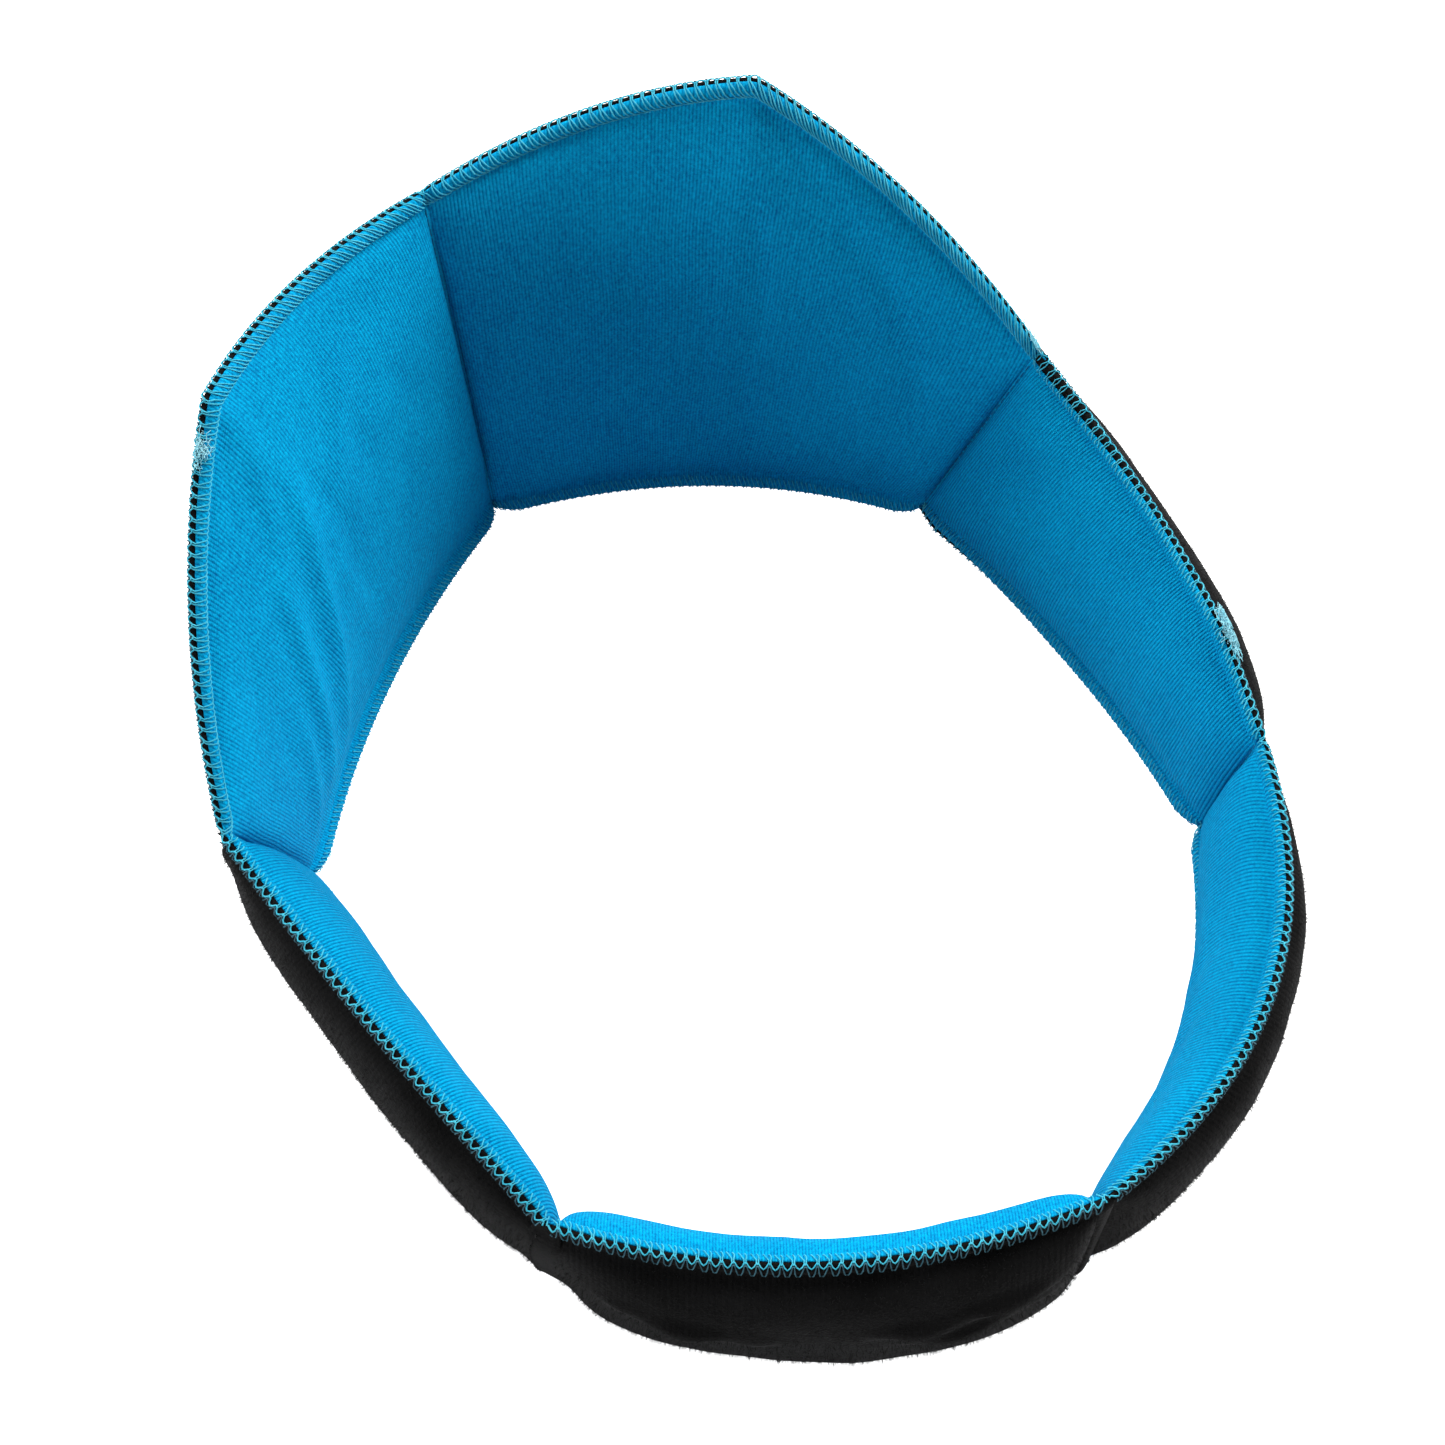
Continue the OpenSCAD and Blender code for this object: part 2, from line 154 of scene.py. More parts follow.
@dataclass
class CollarShape:
    """The ring's driving sizes, in metres and radians, and the surfaces that follow from them.

    Args:
        middle: the centre seam's point on the neck edge.
        pad_width: width of every pad.
        centre_bend: angle between the two centre pads.
        seam_lengths: length of each seam, from the neck edge to the rim.
        seam_leans: outward lean of each seam, in degrees.
        seam_slants: slant of each seam along the ring, in degrees.
        seam_out: distance from a pad's middle to each cloth where the seams press it.
        seam_swelling: least swelling of the covers, which the seams keep.
        pads: cut of each pad.
    """

    middle: Vector
    pad_width: float = 100 * MM
    centre_bend: float = math.radians(70)
    seam_lengths: tuple[float, ...] = (102 * MM, 69 * MM, 46 * MM, 46 * MM, 46 * MM, 69 * MM)
    seam_leans: tuple[float, ...] = (4, 4, 3, -3, 3, 4)
    seam_slants: tuple[float, ...] = (0, 16, 2, 0, -2, -16)
    seam_out: float = 0.45 * MM
    seam_swelling: float = 4.3 * MM
    pads: dict[Pad, PadCut] = field(
        default_factory=lambda: {
            Pad.CENTRE_RIGHT: PadCut(9 * MM, 23 * MM, 0.5, 114 * MM),
            Pad.SIDE_RIGHT: PadCut(5 * MM, 3 * MM, 0.76, 55 * MM),
            Pad.END_RIGHT: PadCut(11 * MM, 16 * MM, 0.5, 46 * MM, end=0.992),
            Pad.END_LEFT: PadCut(13 * MM, 9 * MM, 0.5, 46 * MM, start=0.0),
            Pad.SIDE_LEFT: PadCut(4 * MM, 1 * MM, 0.24, 55 * MM),
            Pad.CENTRE_LEFT: PadCut(6 * MM, 16 * MM, 0.5, 114 * MM),
        }
    )

    def __post_init__(self) -> None:
        """Places the seam points on the neck edge and the rim."""
        half = self.centre_bend / 2
        side_x = self.pad_width * math.cos(half)
        shoulder_y = self.pad_width / 2
        centre_y = shoulder_y + self.pad_width * math.sin(half)
        corners = (
            (0, centre_y),
            (side_x, shoulder_y),
            (side_x, -shoulder_y),
            (0, -centre_y),
            (-side_x, -shoulder_y),
            (-side_x, shoulder_y),
        )
        shift = self.middle - Vector((0, centre_y, 0))
        self.neck_seams = [Vector((x, y, 0)) + shift for x, y in corners]
        self.rim_seams = [
            point + self.seam_lengths[i] * self.seam_direction(i) for i, point in enumerate(self.neck_seams)
        ]

    def seam_direction(self, seam: int) -> Vector:
        """Unit direction of a seam from the neck edge to the rim."""
        here = self.neck_seams[seam]
        ahead = (self.neck_seams[(seam + 1) % len(Pad)] - here).normalized()
        behind = (here - self.neck_seams[seam - 1]).normalized()
        along = (ahead + behind).normalized()
        lean = math.tan(math.radians(self.seam_leans[seam]))
        slant = math.tan(math.radians(self.seam_slants[seam]))
        return (UP_AXIS + lean * UP_AXIS.cross(along) + slant * along).normalized()

    def chord(self, pad: Pad, across: float) -> tuple[Vector, Vector, Vector]:
        """Straight line across a pad before its bow.

        Args:
            pad: the pad.
            across: share of the pad's width, from 0 to 1.

        Returns:
            The line's foot, its direction up the cloth and the outward direction there.
        """
        after = (pad + 1) % len(Pad)
        foot = self.neck_seams[pad].lerp(self.neck_seams[after], across)
        top = self.rim_seams[pad].lerp(self.rim_seams[after], across)
        up = (top - foot).normalized()
        return foot, up, up.cross(self.neck_seams[after] - self.neck_seams[pad]).normalized()

    def rim_height(self, pad: Pad, across: float) -> float:
        """Height of the straight-sided rim outline at a place across a pad."""
        cut = self.pads[pad]
        start, end = self.seam_lengths[pad], self.seam_lengths[(pad + 1) % len(Pad)]
        if across <= cut.corner_at:
            return start + (cut.corner_height - start) * max(0.0, across) / cut.corner_at
        return cut.corner_height + (end - cut.corner_height) * (across - cut.corner_at) / (1 - cut.corner_at)

    def ends(self, pad: Pad, across: float) -> tuple[Vector, Vector, Vector]:
        """Neck point, rim point and outward direction at a place across a pad."""
        foot, up, outward = self.chord(pad, across)
        bow = 4 * across * (1 - across)
        cut = self.pads[pad]
        neck = foot + cut.neck_bow * bow * outward
        rim = foot + self.rim_height(pad, across) * up + cut.rim_bow * bow * outward
        return neck, rim, outward

    def cloth_length(self, pad: Pad, across: float) -> float:
        """Length of the cloth from the neck edge to the rim."""
        neck, rim, _ = self.ends(pad, across)
        return (rim - neck).length

    def place(self, pad: Pad, across: float, height: float, out: float) -> Vector:
        """Point at a height up the cloth from the neck edge and a distance out from the pad's middle."""
        neck, rim, outward = self.ends(pad, across)
        return neck + (rim - neck).normalized() * height + out * outward


# ---------------------------------------------------------------------------------------------------------
# Finishes
# ---------------------------------------------------------------------------------------------------------


class NodeBoard:
    """Adds shader nodes to one tree and links them."""

    def __init__(self, tree: bpy.types.NodeTree) -> None:
        """Starts on a tree."""
        self.tree = tree

    def add(self, kind: str, inputs: dict | None = None, **settings: object) -> bpy.types.Node:
        """Adds a node.

        Args:
            kind: the node's type name.
            inputs: a value or a socket for each named or numbered input.
            settings: the node's own properties.

        Returns:
            The new node.
        """
        node = self.tree.nodes.new(kind)
        for name, value in settings.items():
            setattr(node, name, value)
        for name, value in (inputs or {}).items():
            if isinstance(value, bpy.types.NodeSocket):
                self.tree.links.new(value, node.inputs[name])
            else:
                node.inputs[name].default_value = value
        return node

    def calc(self, operation: str, *values: object) -> bpy.types.NodeSocket:
        """Result of a Math node on one to three values or sockets."""
        node = self.add("ShaderNodeMath", dict(enumerate(values)), operation=operation)
        return node.outputs[0]

    def blend(self, share: object, first: object, second: object) -> bpy.types.NodeSocket:
        """Colour mixed from two colours by a share."""
        node = self.add("ShaderNodeMix", {0: share, 6: first, 7: second}, data_type="RGBA")
        return node.outputs[2]

    def speckle(self, place: object, scale: float, detail: float = 2.0) -> bpy.types.NodeSocket:
        """Noise value round 0.5 at a scale in cells per metre."""
        node = self.add("ShaderNodeTexNoise", {"Vector": place, "Scale": scale, "Detail": detail})
        return node.outputs["Fac"]


def surface_group(
    name: str, inputs: Sequence[str], outputs: Sequence[str]
) -> tuple[NodeBoard, bpy.types.Node, bpy.types.Node]:
    """New shader node group with value inputs after a vector input, and value outputs.

    Args:
        name: the group's name.
        inputs: names of its value inputs.
        outputs: names of its value outputs.

    Returns:
        A board on the group, its input node and its output node.
    """
    group = bpy.data.node_groups.new(name, "ShaderNodeTree")
    group.interface.new_socket("Place", in_out="INPUT", socket_type="NodeSocketVector")
    for label in inputs:
        group.interface.new_socket(label, in_out="INPUT", socket_type="NodeSocketFloat")
    for label in outputs:
        group.interface.new_socket(label, in_out="OUTPUT", socket_type="NodeSocketFloat")
    board = NodeBoard(group)
    return board, board.add("NodeGroupInput"), board.add("NodeGroupOutput")


def knit_ribs_group() -> bpy.types.NodeTree:
    """Group for jersey: upright ribs of V-shaped loops. Its place is the cloth's own, in metres."""
    board, given, result = surface_group("knit_ribs", ("Rib width", "Loop height"), ("Height", "Rib"))
    parts = board.add("ShaderNodeSeparateXYZ", {0: given.outputs["Place"]})
    across = board.calc("DIVIDE", parts.outputs["X"], given.outputs["Rib width"])
    up = board.calc("DIVIDE", parts.outputs["Y"], given.outputs["Loop height"])
    off_centre = board.calc("ABSOLUTE", board.calc("SUBTRACT", across, board.calc("ROUND", across)))
    valley = board.calc("MULTIPLY", off_centre, 2.0)
    rib = board.calc("SUBTRACT", 1.0, board.calc("POWER", valley, 1.6))
    turn = board.calc("MULTIPLY", board.calc("ADD", up, valley), 2 * math.pi)
    loops = board.calc("MULTIPLY_ADD", board.calc("COSINE", turn), 0.5, 0.5)
    looped = board.calc("MULTIPLY", loops, rib)
    height = board.calc("MULTIPLY_ADD", looped, 0.35, board.calc("MULTIPLY", rib, 0.65))
    board.tree.links.new(height, result.inputs["Height"])
    board.tree.links.new(rib, result.inputs["Rib"])
    return board.tree


def fibre_fuzz_group() -> bpy.types.NodeTree:
    """Group for loose fibres: fine broken streaks and a broad patchiness."""
    board, given, result = surface_group("fibre_fuzz", ("Fibre scale", "Patch scale"), ("Fibres", "Patches"))
    place, scale, patch = (given.outputs[name] for name in ("Place", "Fibre scale", "Patch scale"))
    fine = board.add("ShaderNodeTexNoise", {"Vector": place, "Scale": scale, "Detail": 3.0, "Roughness": 0.7})
    broad = board.add("ShaderNodeTexNoise", {"Vector": place, "Scale": patch, "Detail": 3.0})
    board.tree.links.new(fine.outputs["Fac"], result.inputs["Fibres"])
    board.tree.links.new(broad.outputs["Fac"], result.inputs["Patches"])
    return board.tree


@dataclass(frozen=True)
class Finish:
    """A surface finish that every piece of one kind shares."""

    name: str
    colour: tuple[float, float, float]
    dark: tuple[float, float, float]
    roughness: float
    bump: float
    depth: float

    def start(self) -> tuple[bpy.types.Material, NodeBoard, bpy.types.Node]:
        """New material with one Principled shader, the board on its tree, and the shader."""
        material = bpy.data.materials.new(self.name)
        material.use_nodes = True
        board = NodeBoard(material.node_tree)
        shader = next(n for n in material.node_tree.nodes if n.type == "BSDF_PRINCIPLED")
        shader.inputs["Roughness"].default_value = self.roughness
        shader.inputs["Specular IOR Level"].default_value = 0.2
        return material, board, shader

    def close(self, board: NodeBoard, shader: bpy.types.Node, colour: object, height: object) -> None:
        """Links a colour and a bump height to the shader."""
        bump = board.add("ShaderNodeBump", {"Height": height, "Strength": self.bump, "Distance": self.depth})
        board.tree.links.new(colour, shader.inputs["Base Color"])
        board.tree.links.new(bump.outputs["Normal"], shader.inputs["Normal"])


@dataclass(frozen=True)
class JerseyFinish(Finish):
    """Fine blue jersey with upright ribs, their valleys painted darker as painted shade."""

    rib_width: float = 0.66 * MM
    loop_height: float = 0.5 * MM
    # How much darker the rib valleys are painted: painted shade in the knit.
    contrast: float = 0.55
    grain: float = 1.5

    def material(self, ribs: bpy.types.NodeTree, fuzz: bpy.types.NodeTree) -> bpy.types.Material:
        """Builds the material from the two groups."""
        material, board, shader = self.start()
        shader.inputs["Sheen Weight"].default_value = 0.05
        shader.inputs["Sheen Roughness"].default_value = 0.4
        shader.inputs["Sheen Tint"].default_value = (0.02, 0.6, 1.0, 1)
        shader.inputs["Specular IOR Level"].default_value = 0.05
        place = board.add("ShaderNodeTexCoord").outputs["Object"]
        flat = board.add("ShaderNodeUVMap", uv_map="cloth").outputs["UV"]
        noise_inputs = {"Vector": flat, "Scale": 28.0, "Detail": 1.0}
        drift = board.add("ShaderNodeTexNoise", noise_inputs).outputs["Color"]
        shift = {0: drift, 1: (0.5, 0.5, 0.5)}
        centred = board.add("ShaderNodeVectorMath", shift, operation="SUBTRACT").outputs[0]
        sway = {0: centred, 1: (0.0022, 0.001, 0), 2: flat}
        bent = board.add("ShaderNodeVectorMath", sway, operation="MULTIPLY_ADD").outputs[0]
        knit = board.add("ShaderNodeGroup", node_tree=ribs)
        board.tree.links.new(bent, knit.inputs["Place"])
        knit.inputs["Rib width"].default_value = self.rib_width
        knit.inputs["Loop height"].default_value = self.loop_height
        loose = board.add("ShaderNodeGroup", node_tree=fuzz)
        board.tree.links.new(place, loose.inputs["Place"])
        loose.inputs["Fibre scale"].default_value = 1500.0
        loose.inputs["Patch scale"].default_value = 55.0
        grain = board.calc("SUBTRACT", loose.outputs["Fibres"], 0.5)
        # Painted shade: the rib valleys and loop dips are mixed towards the dark blue; grain and patches vary
        # the tone at random.
        shaded_ribs = board.calc("MULTIPLY_ADD", knit.outputs["Height"], self.contrast, 0.52 - 0.5 * self.contrast)
        tone = board.calc("MULTIPLY_ADD", grain, self.grain, shaded_ribs)
        toned = board.calc("MULTIPLY_ADD", board.calc("SUBTRACT", loose.outputs["Patches"], 0.5), 0.3, tone)
        colour = board.blend(toned, (*self.dark, 1), (*self.colour, 1))
        height = board.calc("MULTIPLY_ADD", loose.outputs["Fibres"], 0.35, knit.outputs["Height"])
        self.close(board, shader, colour, height)
        return material


@dataclass(frozen=True)
class VelourFinish(Finish):
    """Black short-pile velour with a grey nap."""

    rib_width: float = 1.1 * MM

    def material(self, ribs: bpy.types.NodeTree, fuzz: bpy.types.NodeTree) -> bpy.types.Material:
        """Builds the material from the two groups."""
        material, board, shader = self.start()
        shader.inputs["Sheen Weight"].default_value = 0.035
        shader.inputs["Sheen Roughness"].default_value = 0.35
        shader.inputs["Sheen Tint"].default_value = (0.75, 0.78, 0.85, 1)
        shader.inputs["Specular IOR Level"].default_value = 0.12
        place = board.add("ShaderNodeTexCoord").outputs["Object"]
        flat = board.add("ShaderNodeUVMap", uv_map="cloth").outputs["UV"]
        knit = board.add("ShaderNodeGroup", node_tree=ribs)
        board.tree.links.new(flat, knit.inputs["Place"])
        knit.inputs["Rib width"].default_value = self.rib_width
        knit.inputs["Loop height"].default_value = 3 * self.rib_width
        loose = board.add("ShaderNodeGroup", node_tree=fuzz)
        board.tree.links.new(place, loose.inputs["Place"])
        loose.inputs["Fibre scale"].default_value = 1500.0
        loose.inputs["Patch scale"].default_value = 70.0
        napped = board.calc("MULTIPLY_ADD", loose.outputs["Patches"], 2.6, -0.8)
        tone = board.calc("MULTIPLY", loose.outputs["Fibres"], napped)
        colour = board.blend(tone, (*self.dark, 1), (*self.colour, 1))
        height = board.calc("MULTIPLY_ADD", knit.outputs["Rib"], 0.25, loose.outputs["Fibres"])
        self.close(board, shader, colour, height)
        return material


@dataclass(frozen=True)
class ThreadFinish(Finish):
    """Soft overlock thread, paler where its strands catch the light."""

    def material(self, fuzz: bpy.types.NodeTree) -> bpy.types.Material:
        """Builds the material from the fibre group."""
        material, board, shader = self.start()
        shader.inputs["Sheen Weight"].default_value = 0.02
        place = board.add("ShaderNodeTexCoord").outputs["Object"]
        loose = board.add("ShaderNodeGroup", node_tree=fuzz)
        board.tree.links.new(place, loose.inputs["Place"])
        loose.inputs["Fibre scale"].default_value = 3000.0
        loose.inputs["Patch scale"].default_value = 300.0
        tone = board.calc("MULTIPLY_ADD", loose.outputs["Patches"], 1.2, -0.1)
        colour = board.blend(tone, (*self.dark, 1), (*self.colour, 1))
        self.close(board, shader, colour, loose.outputs["Fibres"])
        return material


@dataclass(frozen=True)
class CellFinish(Finish):
    """Matte finish of small cells or hooks: open foam, or hook tape, each cell's hollow painted darker as
    painted shade.
    """

    cell_scale: float = 1200.0

    def material(self) -> bpy.types.Material:
        """Builds the material from a cell pattern."""
        material, board, shader = self.start()
        place = board.add("ShaderNodeTexCoord").outputs["Object"]
        pattern = {"Vector": place, "Scale": self.cell_scale}
        cells = board.add("ShaderNodeTexVoronoi", pattern).outputs["Distance"]
        # Painted shade: the colour darkens towards each cell's low middle, where the bump sinks.
        colour = board.blend(cells, (*self.dark, 1), (*self.colour, 1))
        self.close(board, shader, colour, cells)
        return material


class Wardrobe:
    """The collar's finished materials."""

    def __init__(self) -> None:
        """Builds the shared groups once, then each material."""
        ribs, fuzz = knit_ribs_group(), fibre_fuzz_group()
        # deep_blue is the painted shade of the jersey's rib valleys and the dark end of its random grain.
        blue, deep_blue = (0.0, 0.43, 0.74), (0.0, 0.11, 0.31)
        slack_knit = (0.85, 0.5, 0.25 * MM, 0.58 * MM, 0.45 * MM, 0.5, 1.7)
        slack = JerseyFinish("jersey_slack", blue, deep_blue, *slack_knit)
        drawn_knit = (0.85, 0.9, 0.3 * MM, 0.76 * MM, 0.5 * MM, 0.72, 1.2)
        drawn = JerseyFinish("jersey_drawn", blue, deep_blue, *drawn_knit)
        self.slack_jersey = slack.material(ribs, fuzz)
        self.jersey = drawn.material(ribs, fuzz)
        black, soot = (0.0004, 0.0004, 0.0004), (0.010, 0.010, 0.0105)
        self.velour = VelourFinish("velour_black", soot, black, 0.9, 0.8, 0.4 * MM).material(ribs, fuzz)
        pile = (0.007, 0.007, 0.0074)
        self.pile = ThreadFinish("velour_pile", pile, black, 0.9, 0.3, 0.1 * MM).material(fuzz)
        aqua, teal = (0.09, 0.56, 0.70), (0.0, 0.30, 0.46)
        self.thread = ThreadFinish("thread_pale", aqua, teal, 0.7, 0.4, 0.1 * MM).material(fuzz)
        # The outside looper is the same thread painted darker: painted shade where it lies in the pile.
        slate, ink = (0.07, 0.20, 0.26), (0.02, 0.07, 0.10)
        self.sunk_thread = ThreadFinish("thread_sunk", slate, ink, 0.8, 0.4, 0.1 * MM).material(fuzz)
        denim, navy = (0.0, 0.2, 0.4), (0.0, 0.08, 0.2)
        self.seam_thread = ThreadFinish("thread_seam", denim, navy, 0.8, 0.4, 0.1 * MM).material(fuzz)
        # hollow is the painted shade in the foam's cells.
        cream, hollow = (0.9, 0.9, 0.84), (0.55, 0.55, 0.48)
        self.foam = CellFinish("foam_white", cream, hollow, 0.95, 0.5, 0.4 * MM).material()
        grey, dark_grey = (0.05, 0.05, 0.055), (0.01, 0.01, 0.01)
        self.hooks = CellFinish("hook_tape", grey, dark_grey, 0.5, 0.8, 0.3 * MM, 900.0).material()
        pale, faded = (0.48, 0.80, 0.87), (0.14, 0.58, 0.72)
        self.lint = ThreadFinish("lint_pale", pale, faded, 0.9, 0.3, 0.1 * MM).material(fuzz)


# ---------------------------------------------------------------------------------------------------------
# Making pieces
# ---------------------------------------------------------------------------------------------------------


def new_piece(name: str, mesh: bpy.types.Mesh, *materials: bpy.types.Material) -> bpy.types.Object:
    """Object for a mesh, with its materials, smooth shaded and linked to the scene."""
    mesh.name = name
    if materials:
        mesh.materials.clear()
    for material in materials:
        mesh.materials.append(material)
    for polygon in mesh.polygons:
        polygon.use_smooth = True
    piece = bpy.data.objects.new(name, mesh)
    bpy.context.scene.collection.objects.link(piece)
    return piece


def mapped_grid(
    columns: int,
    rows: int,
    place: Callable[[float, float], Vector],
    flat: Callable[[float, float], tuple[float, float]],
) -> bmesh.types.BMesh:
    """Grid of quads laid on a surface, with the cloth's flat place as its UV map.

    Args:
        columns: quads across.
        rows: quads up.
        place: the surface's point for a share across and a share up.
        flat: the flat cloth's place in metres for the same shares.

    Returns:
        The grid's bmesh, facing away from the ring's middle.
    """
    grid = bmesh.new()
    bmesh.ops.create_grid(grid, x_segments=columns, y_segments=rows, size=0.5)
    cloth = grid.loops.layers.uv.new("cloth")
    shares = {v: (v.co.x + 0.5, v.co.y + 0.5) for v in grid.verts}
    for face in grid.faces:
        for loop in face.loops:
            loop[cloth].uv = flat(*shares[loop.vert])
    for vert, (across, up) in shares.items():
        vert.co = place(across, up)
    bmesh.ops.reverse_faces(grid, faces=grid.faces)
    return grid


def add_modifier(piece: bpy.types.Object, kind: str, **settings: object) -> bpy.types.Modifier:
    """Adds a modifier with its settings."""
    modifier = piece.modifiers.new(kind.lower(), kind)
    for name, value in settings.items():
        setattr(modifier, name, value)
    return modifier


def thread_piece(
    name: str, strands: Iterable[tuple[Sequence[Vector], tuple[float, float]]], material: bpy.types.Material
) -> bpy.types.Object:
    """Round threads along open lines.

    Args:
        name: the piece's name.
        strands: each line's points, and the thread's radius at its start and at its end.
        material: the thread's finish.

    Returns:
        The threads as one mesh piece.
    """
    curve = bpy.data.curves.new(name, "CURVE")
    curve.dimensions = "3D"
    curve.bevel_depth = 1.0
    curve.bevel_resolution = 0
    curve.use_fill_caps = True
    for points, (first, last) in strands:
        line = curve.splines.new("POLY")
        line.points.add(len(points) - 1)
        for k, (knot, point) in enumerate(zip(line.points, points)):
            knot.co = (*point, 1)
            knot.radius = first + (last - first) * k / (len(points) - 1)
    holder = bpy.data.objects.new(name + "_line", curve)
    bpy.context.scene.collection.objects.link(holder)
    bpy.context.view_layer.update()
    mesh = bpy.data.meshes.new_from_object(holder.evaluated_get(bpy.context.evaluated_depsgraph_get()))
    bpy.data.objects.remove(holder)
    bpy.data.curves.remove(curve)
    return new_piece(name, mesh, material)


def mesh_piece(name: str, shaped: bmesh.types.BMesh, *materials: bpy.types.Material) -> bpy.types.Object:
    """Turns a bmesh into a piece and frees it."""
    mesh = bpy.data.meshes.new(name)
    shaped.to_mesh(mesh)
    shaped.free()
    return new_piece(name, mesh, *materials)


# ---------------------------------------------------------------------------------------------------------
# One pad
# ---------------------------------------------------------------------------------------------------------


@dataclass(frozen=True)
class BandSection:
    """Cross-section of a pad's overlocked band, from its lip to the pinch where the padding starts.

    Args:
        cover: the cover's depth below the cut edge and its distance out, row by row from the lip.
        lining: the same for the lining, starting at the same lip.
        opening: extra way that the rungs cross before the chain.
    """

    cover: tuple[tuple[float, float], ...] = (
        (0.42 * MM, -0.25 * MM),
        (0.28 * MM, 0.35 * MM),
        (0.60 * MM, 0.95 * MM),
        (1.60 * MM, 1.35 * MM),
        (3.00 * MM, 1.25 * MM),
        (4.00 * MM, 0.80 * MM),
    )
    lining: tuple[tuple[float, float], ...] = (
        (0.42 * MM, -0.25 * MM),
        (0.45 * MM, -0.85 * MM),
        (0.95 * MM, -1.55 * MM),
        (2.00 * MM, -1.95 * MM),
        (3.20 * MM, -1.60 * MM),
        (4.00 * MM, -0.20 * MM),
    )
    opening: float = 0.0

    @property
    def pinch(self) -> float:
        """Depth of the pinch below the cut edge."""
        return self.cover[-1][0]

    def rows(self, face: Face) -> tuple[tuple[float, float], ...]:
        """The rows of one cloth."""
        return self.cover if face is Face.COVER else self.lining

    def mixed(self, other: "BandSection", part: float) -> "BandSection":
        """Section between this one and another."""
        cover, lining = (
            tuple(tuple((1 - part) * a + part * b for a, b in zip(*rows)) for rows in zip(mine, theirs))
            for mine, theirs in ((self.cover, other.cover), (self.lining, other.lining))
        )
        return BandSection(cover, lining, (1 - part) * self.opening + part * other.opening)

    def wrap(self, run: float, lift: float) -> tuple[float, float]:
        """Point on the band.

        Args:
            run: way along the section from the lip, negative down the lining and positive down the cover.
            lift: distance off the cloth.

        Returns:
            Depth below the cut edge and distance out.
        """
        outline = np.array([*reversed(self.lining), *self.cover[1:]])
        ways = np.concatenate(([0.0], np.cumsum(np.linalg.norm(np.diff(outline, axis=0), axis=1))))
        ways -= ways[len(self.lining) - 1]
        nearby = np.array([run - 0.3 * MM, run, run + 0.3 * MM])
        depths = np.interp(nearby, ways, outline[:, 0])
        outs = np.interp(nearby, ways, outline[:, 1])
        turn = math.hypot(depths[2] - depths[0], outs[2] - outs[0])
        depth = depths[1] - lift * (outs[2] - outs[0]) / turn
        out = outs[1] + lift * (depths[2] - depths[0]) / turn
        return float(depth), float(out)


PLAIN_BAND = BandSection()

ROLLED_BAND = BandSection(
    cover=(
        (2.30 * MM, -1.45 * MM),
        (0.95 * MM, -1.25 * MM),
        (0.30 * MM, -0.30 * MM),
        (0.80 * MM, 0.90 * MM),
        (2.60 * MM, 1.30 * MM),
        (4.00 * MM, 0.80 * MM),
    ),
    lining=(
        (2.30 * MM, -1.45 * MM),
        (2.40 * MM, -1.60 * MM),
        (2.80 * MM, -1.70 * MM),
        (3.30 * MM, -1.50 * MM),
        (3.70 * MM, -1.00 * MM),
        (4.00 * MM, -0.35 * MM),
    ),
    opening=2.0 * MM,
)


@dataclass(frozen=True)
class Wrinkle:
    """A long soft fold in a pad's cloth, as a raised ridge with a hollow on one side.

    Args:
        start: its first end, as shares across and up the padding.
        end: its other end.
        width: half width across the fold, as a share of the pad.
        rise: height, in metres.
    """

    start: tuple[float, float]
    end: tuple[float, float]
    width: float
    rise: float

    def height(self, across: float, up: float) -> float:
        """Rise of the cloth at a place."""
        dx, dy = self.end[0] - self.start[0], self.end[1] - self.start[1]
        length = math.hypot(dx, dy)
        px, py = across - self.start[0], up - self.start[1]
        along = (px * dx + py * dy) / length**2
        aside = (px * dy - py * dx) / length / self.width
        fade = max(0.0, 1 - (2 * along - 1) ** 2)
        return self.rise * fade * math.exp(-aside * aside) * (1 - 0.6 * aside)


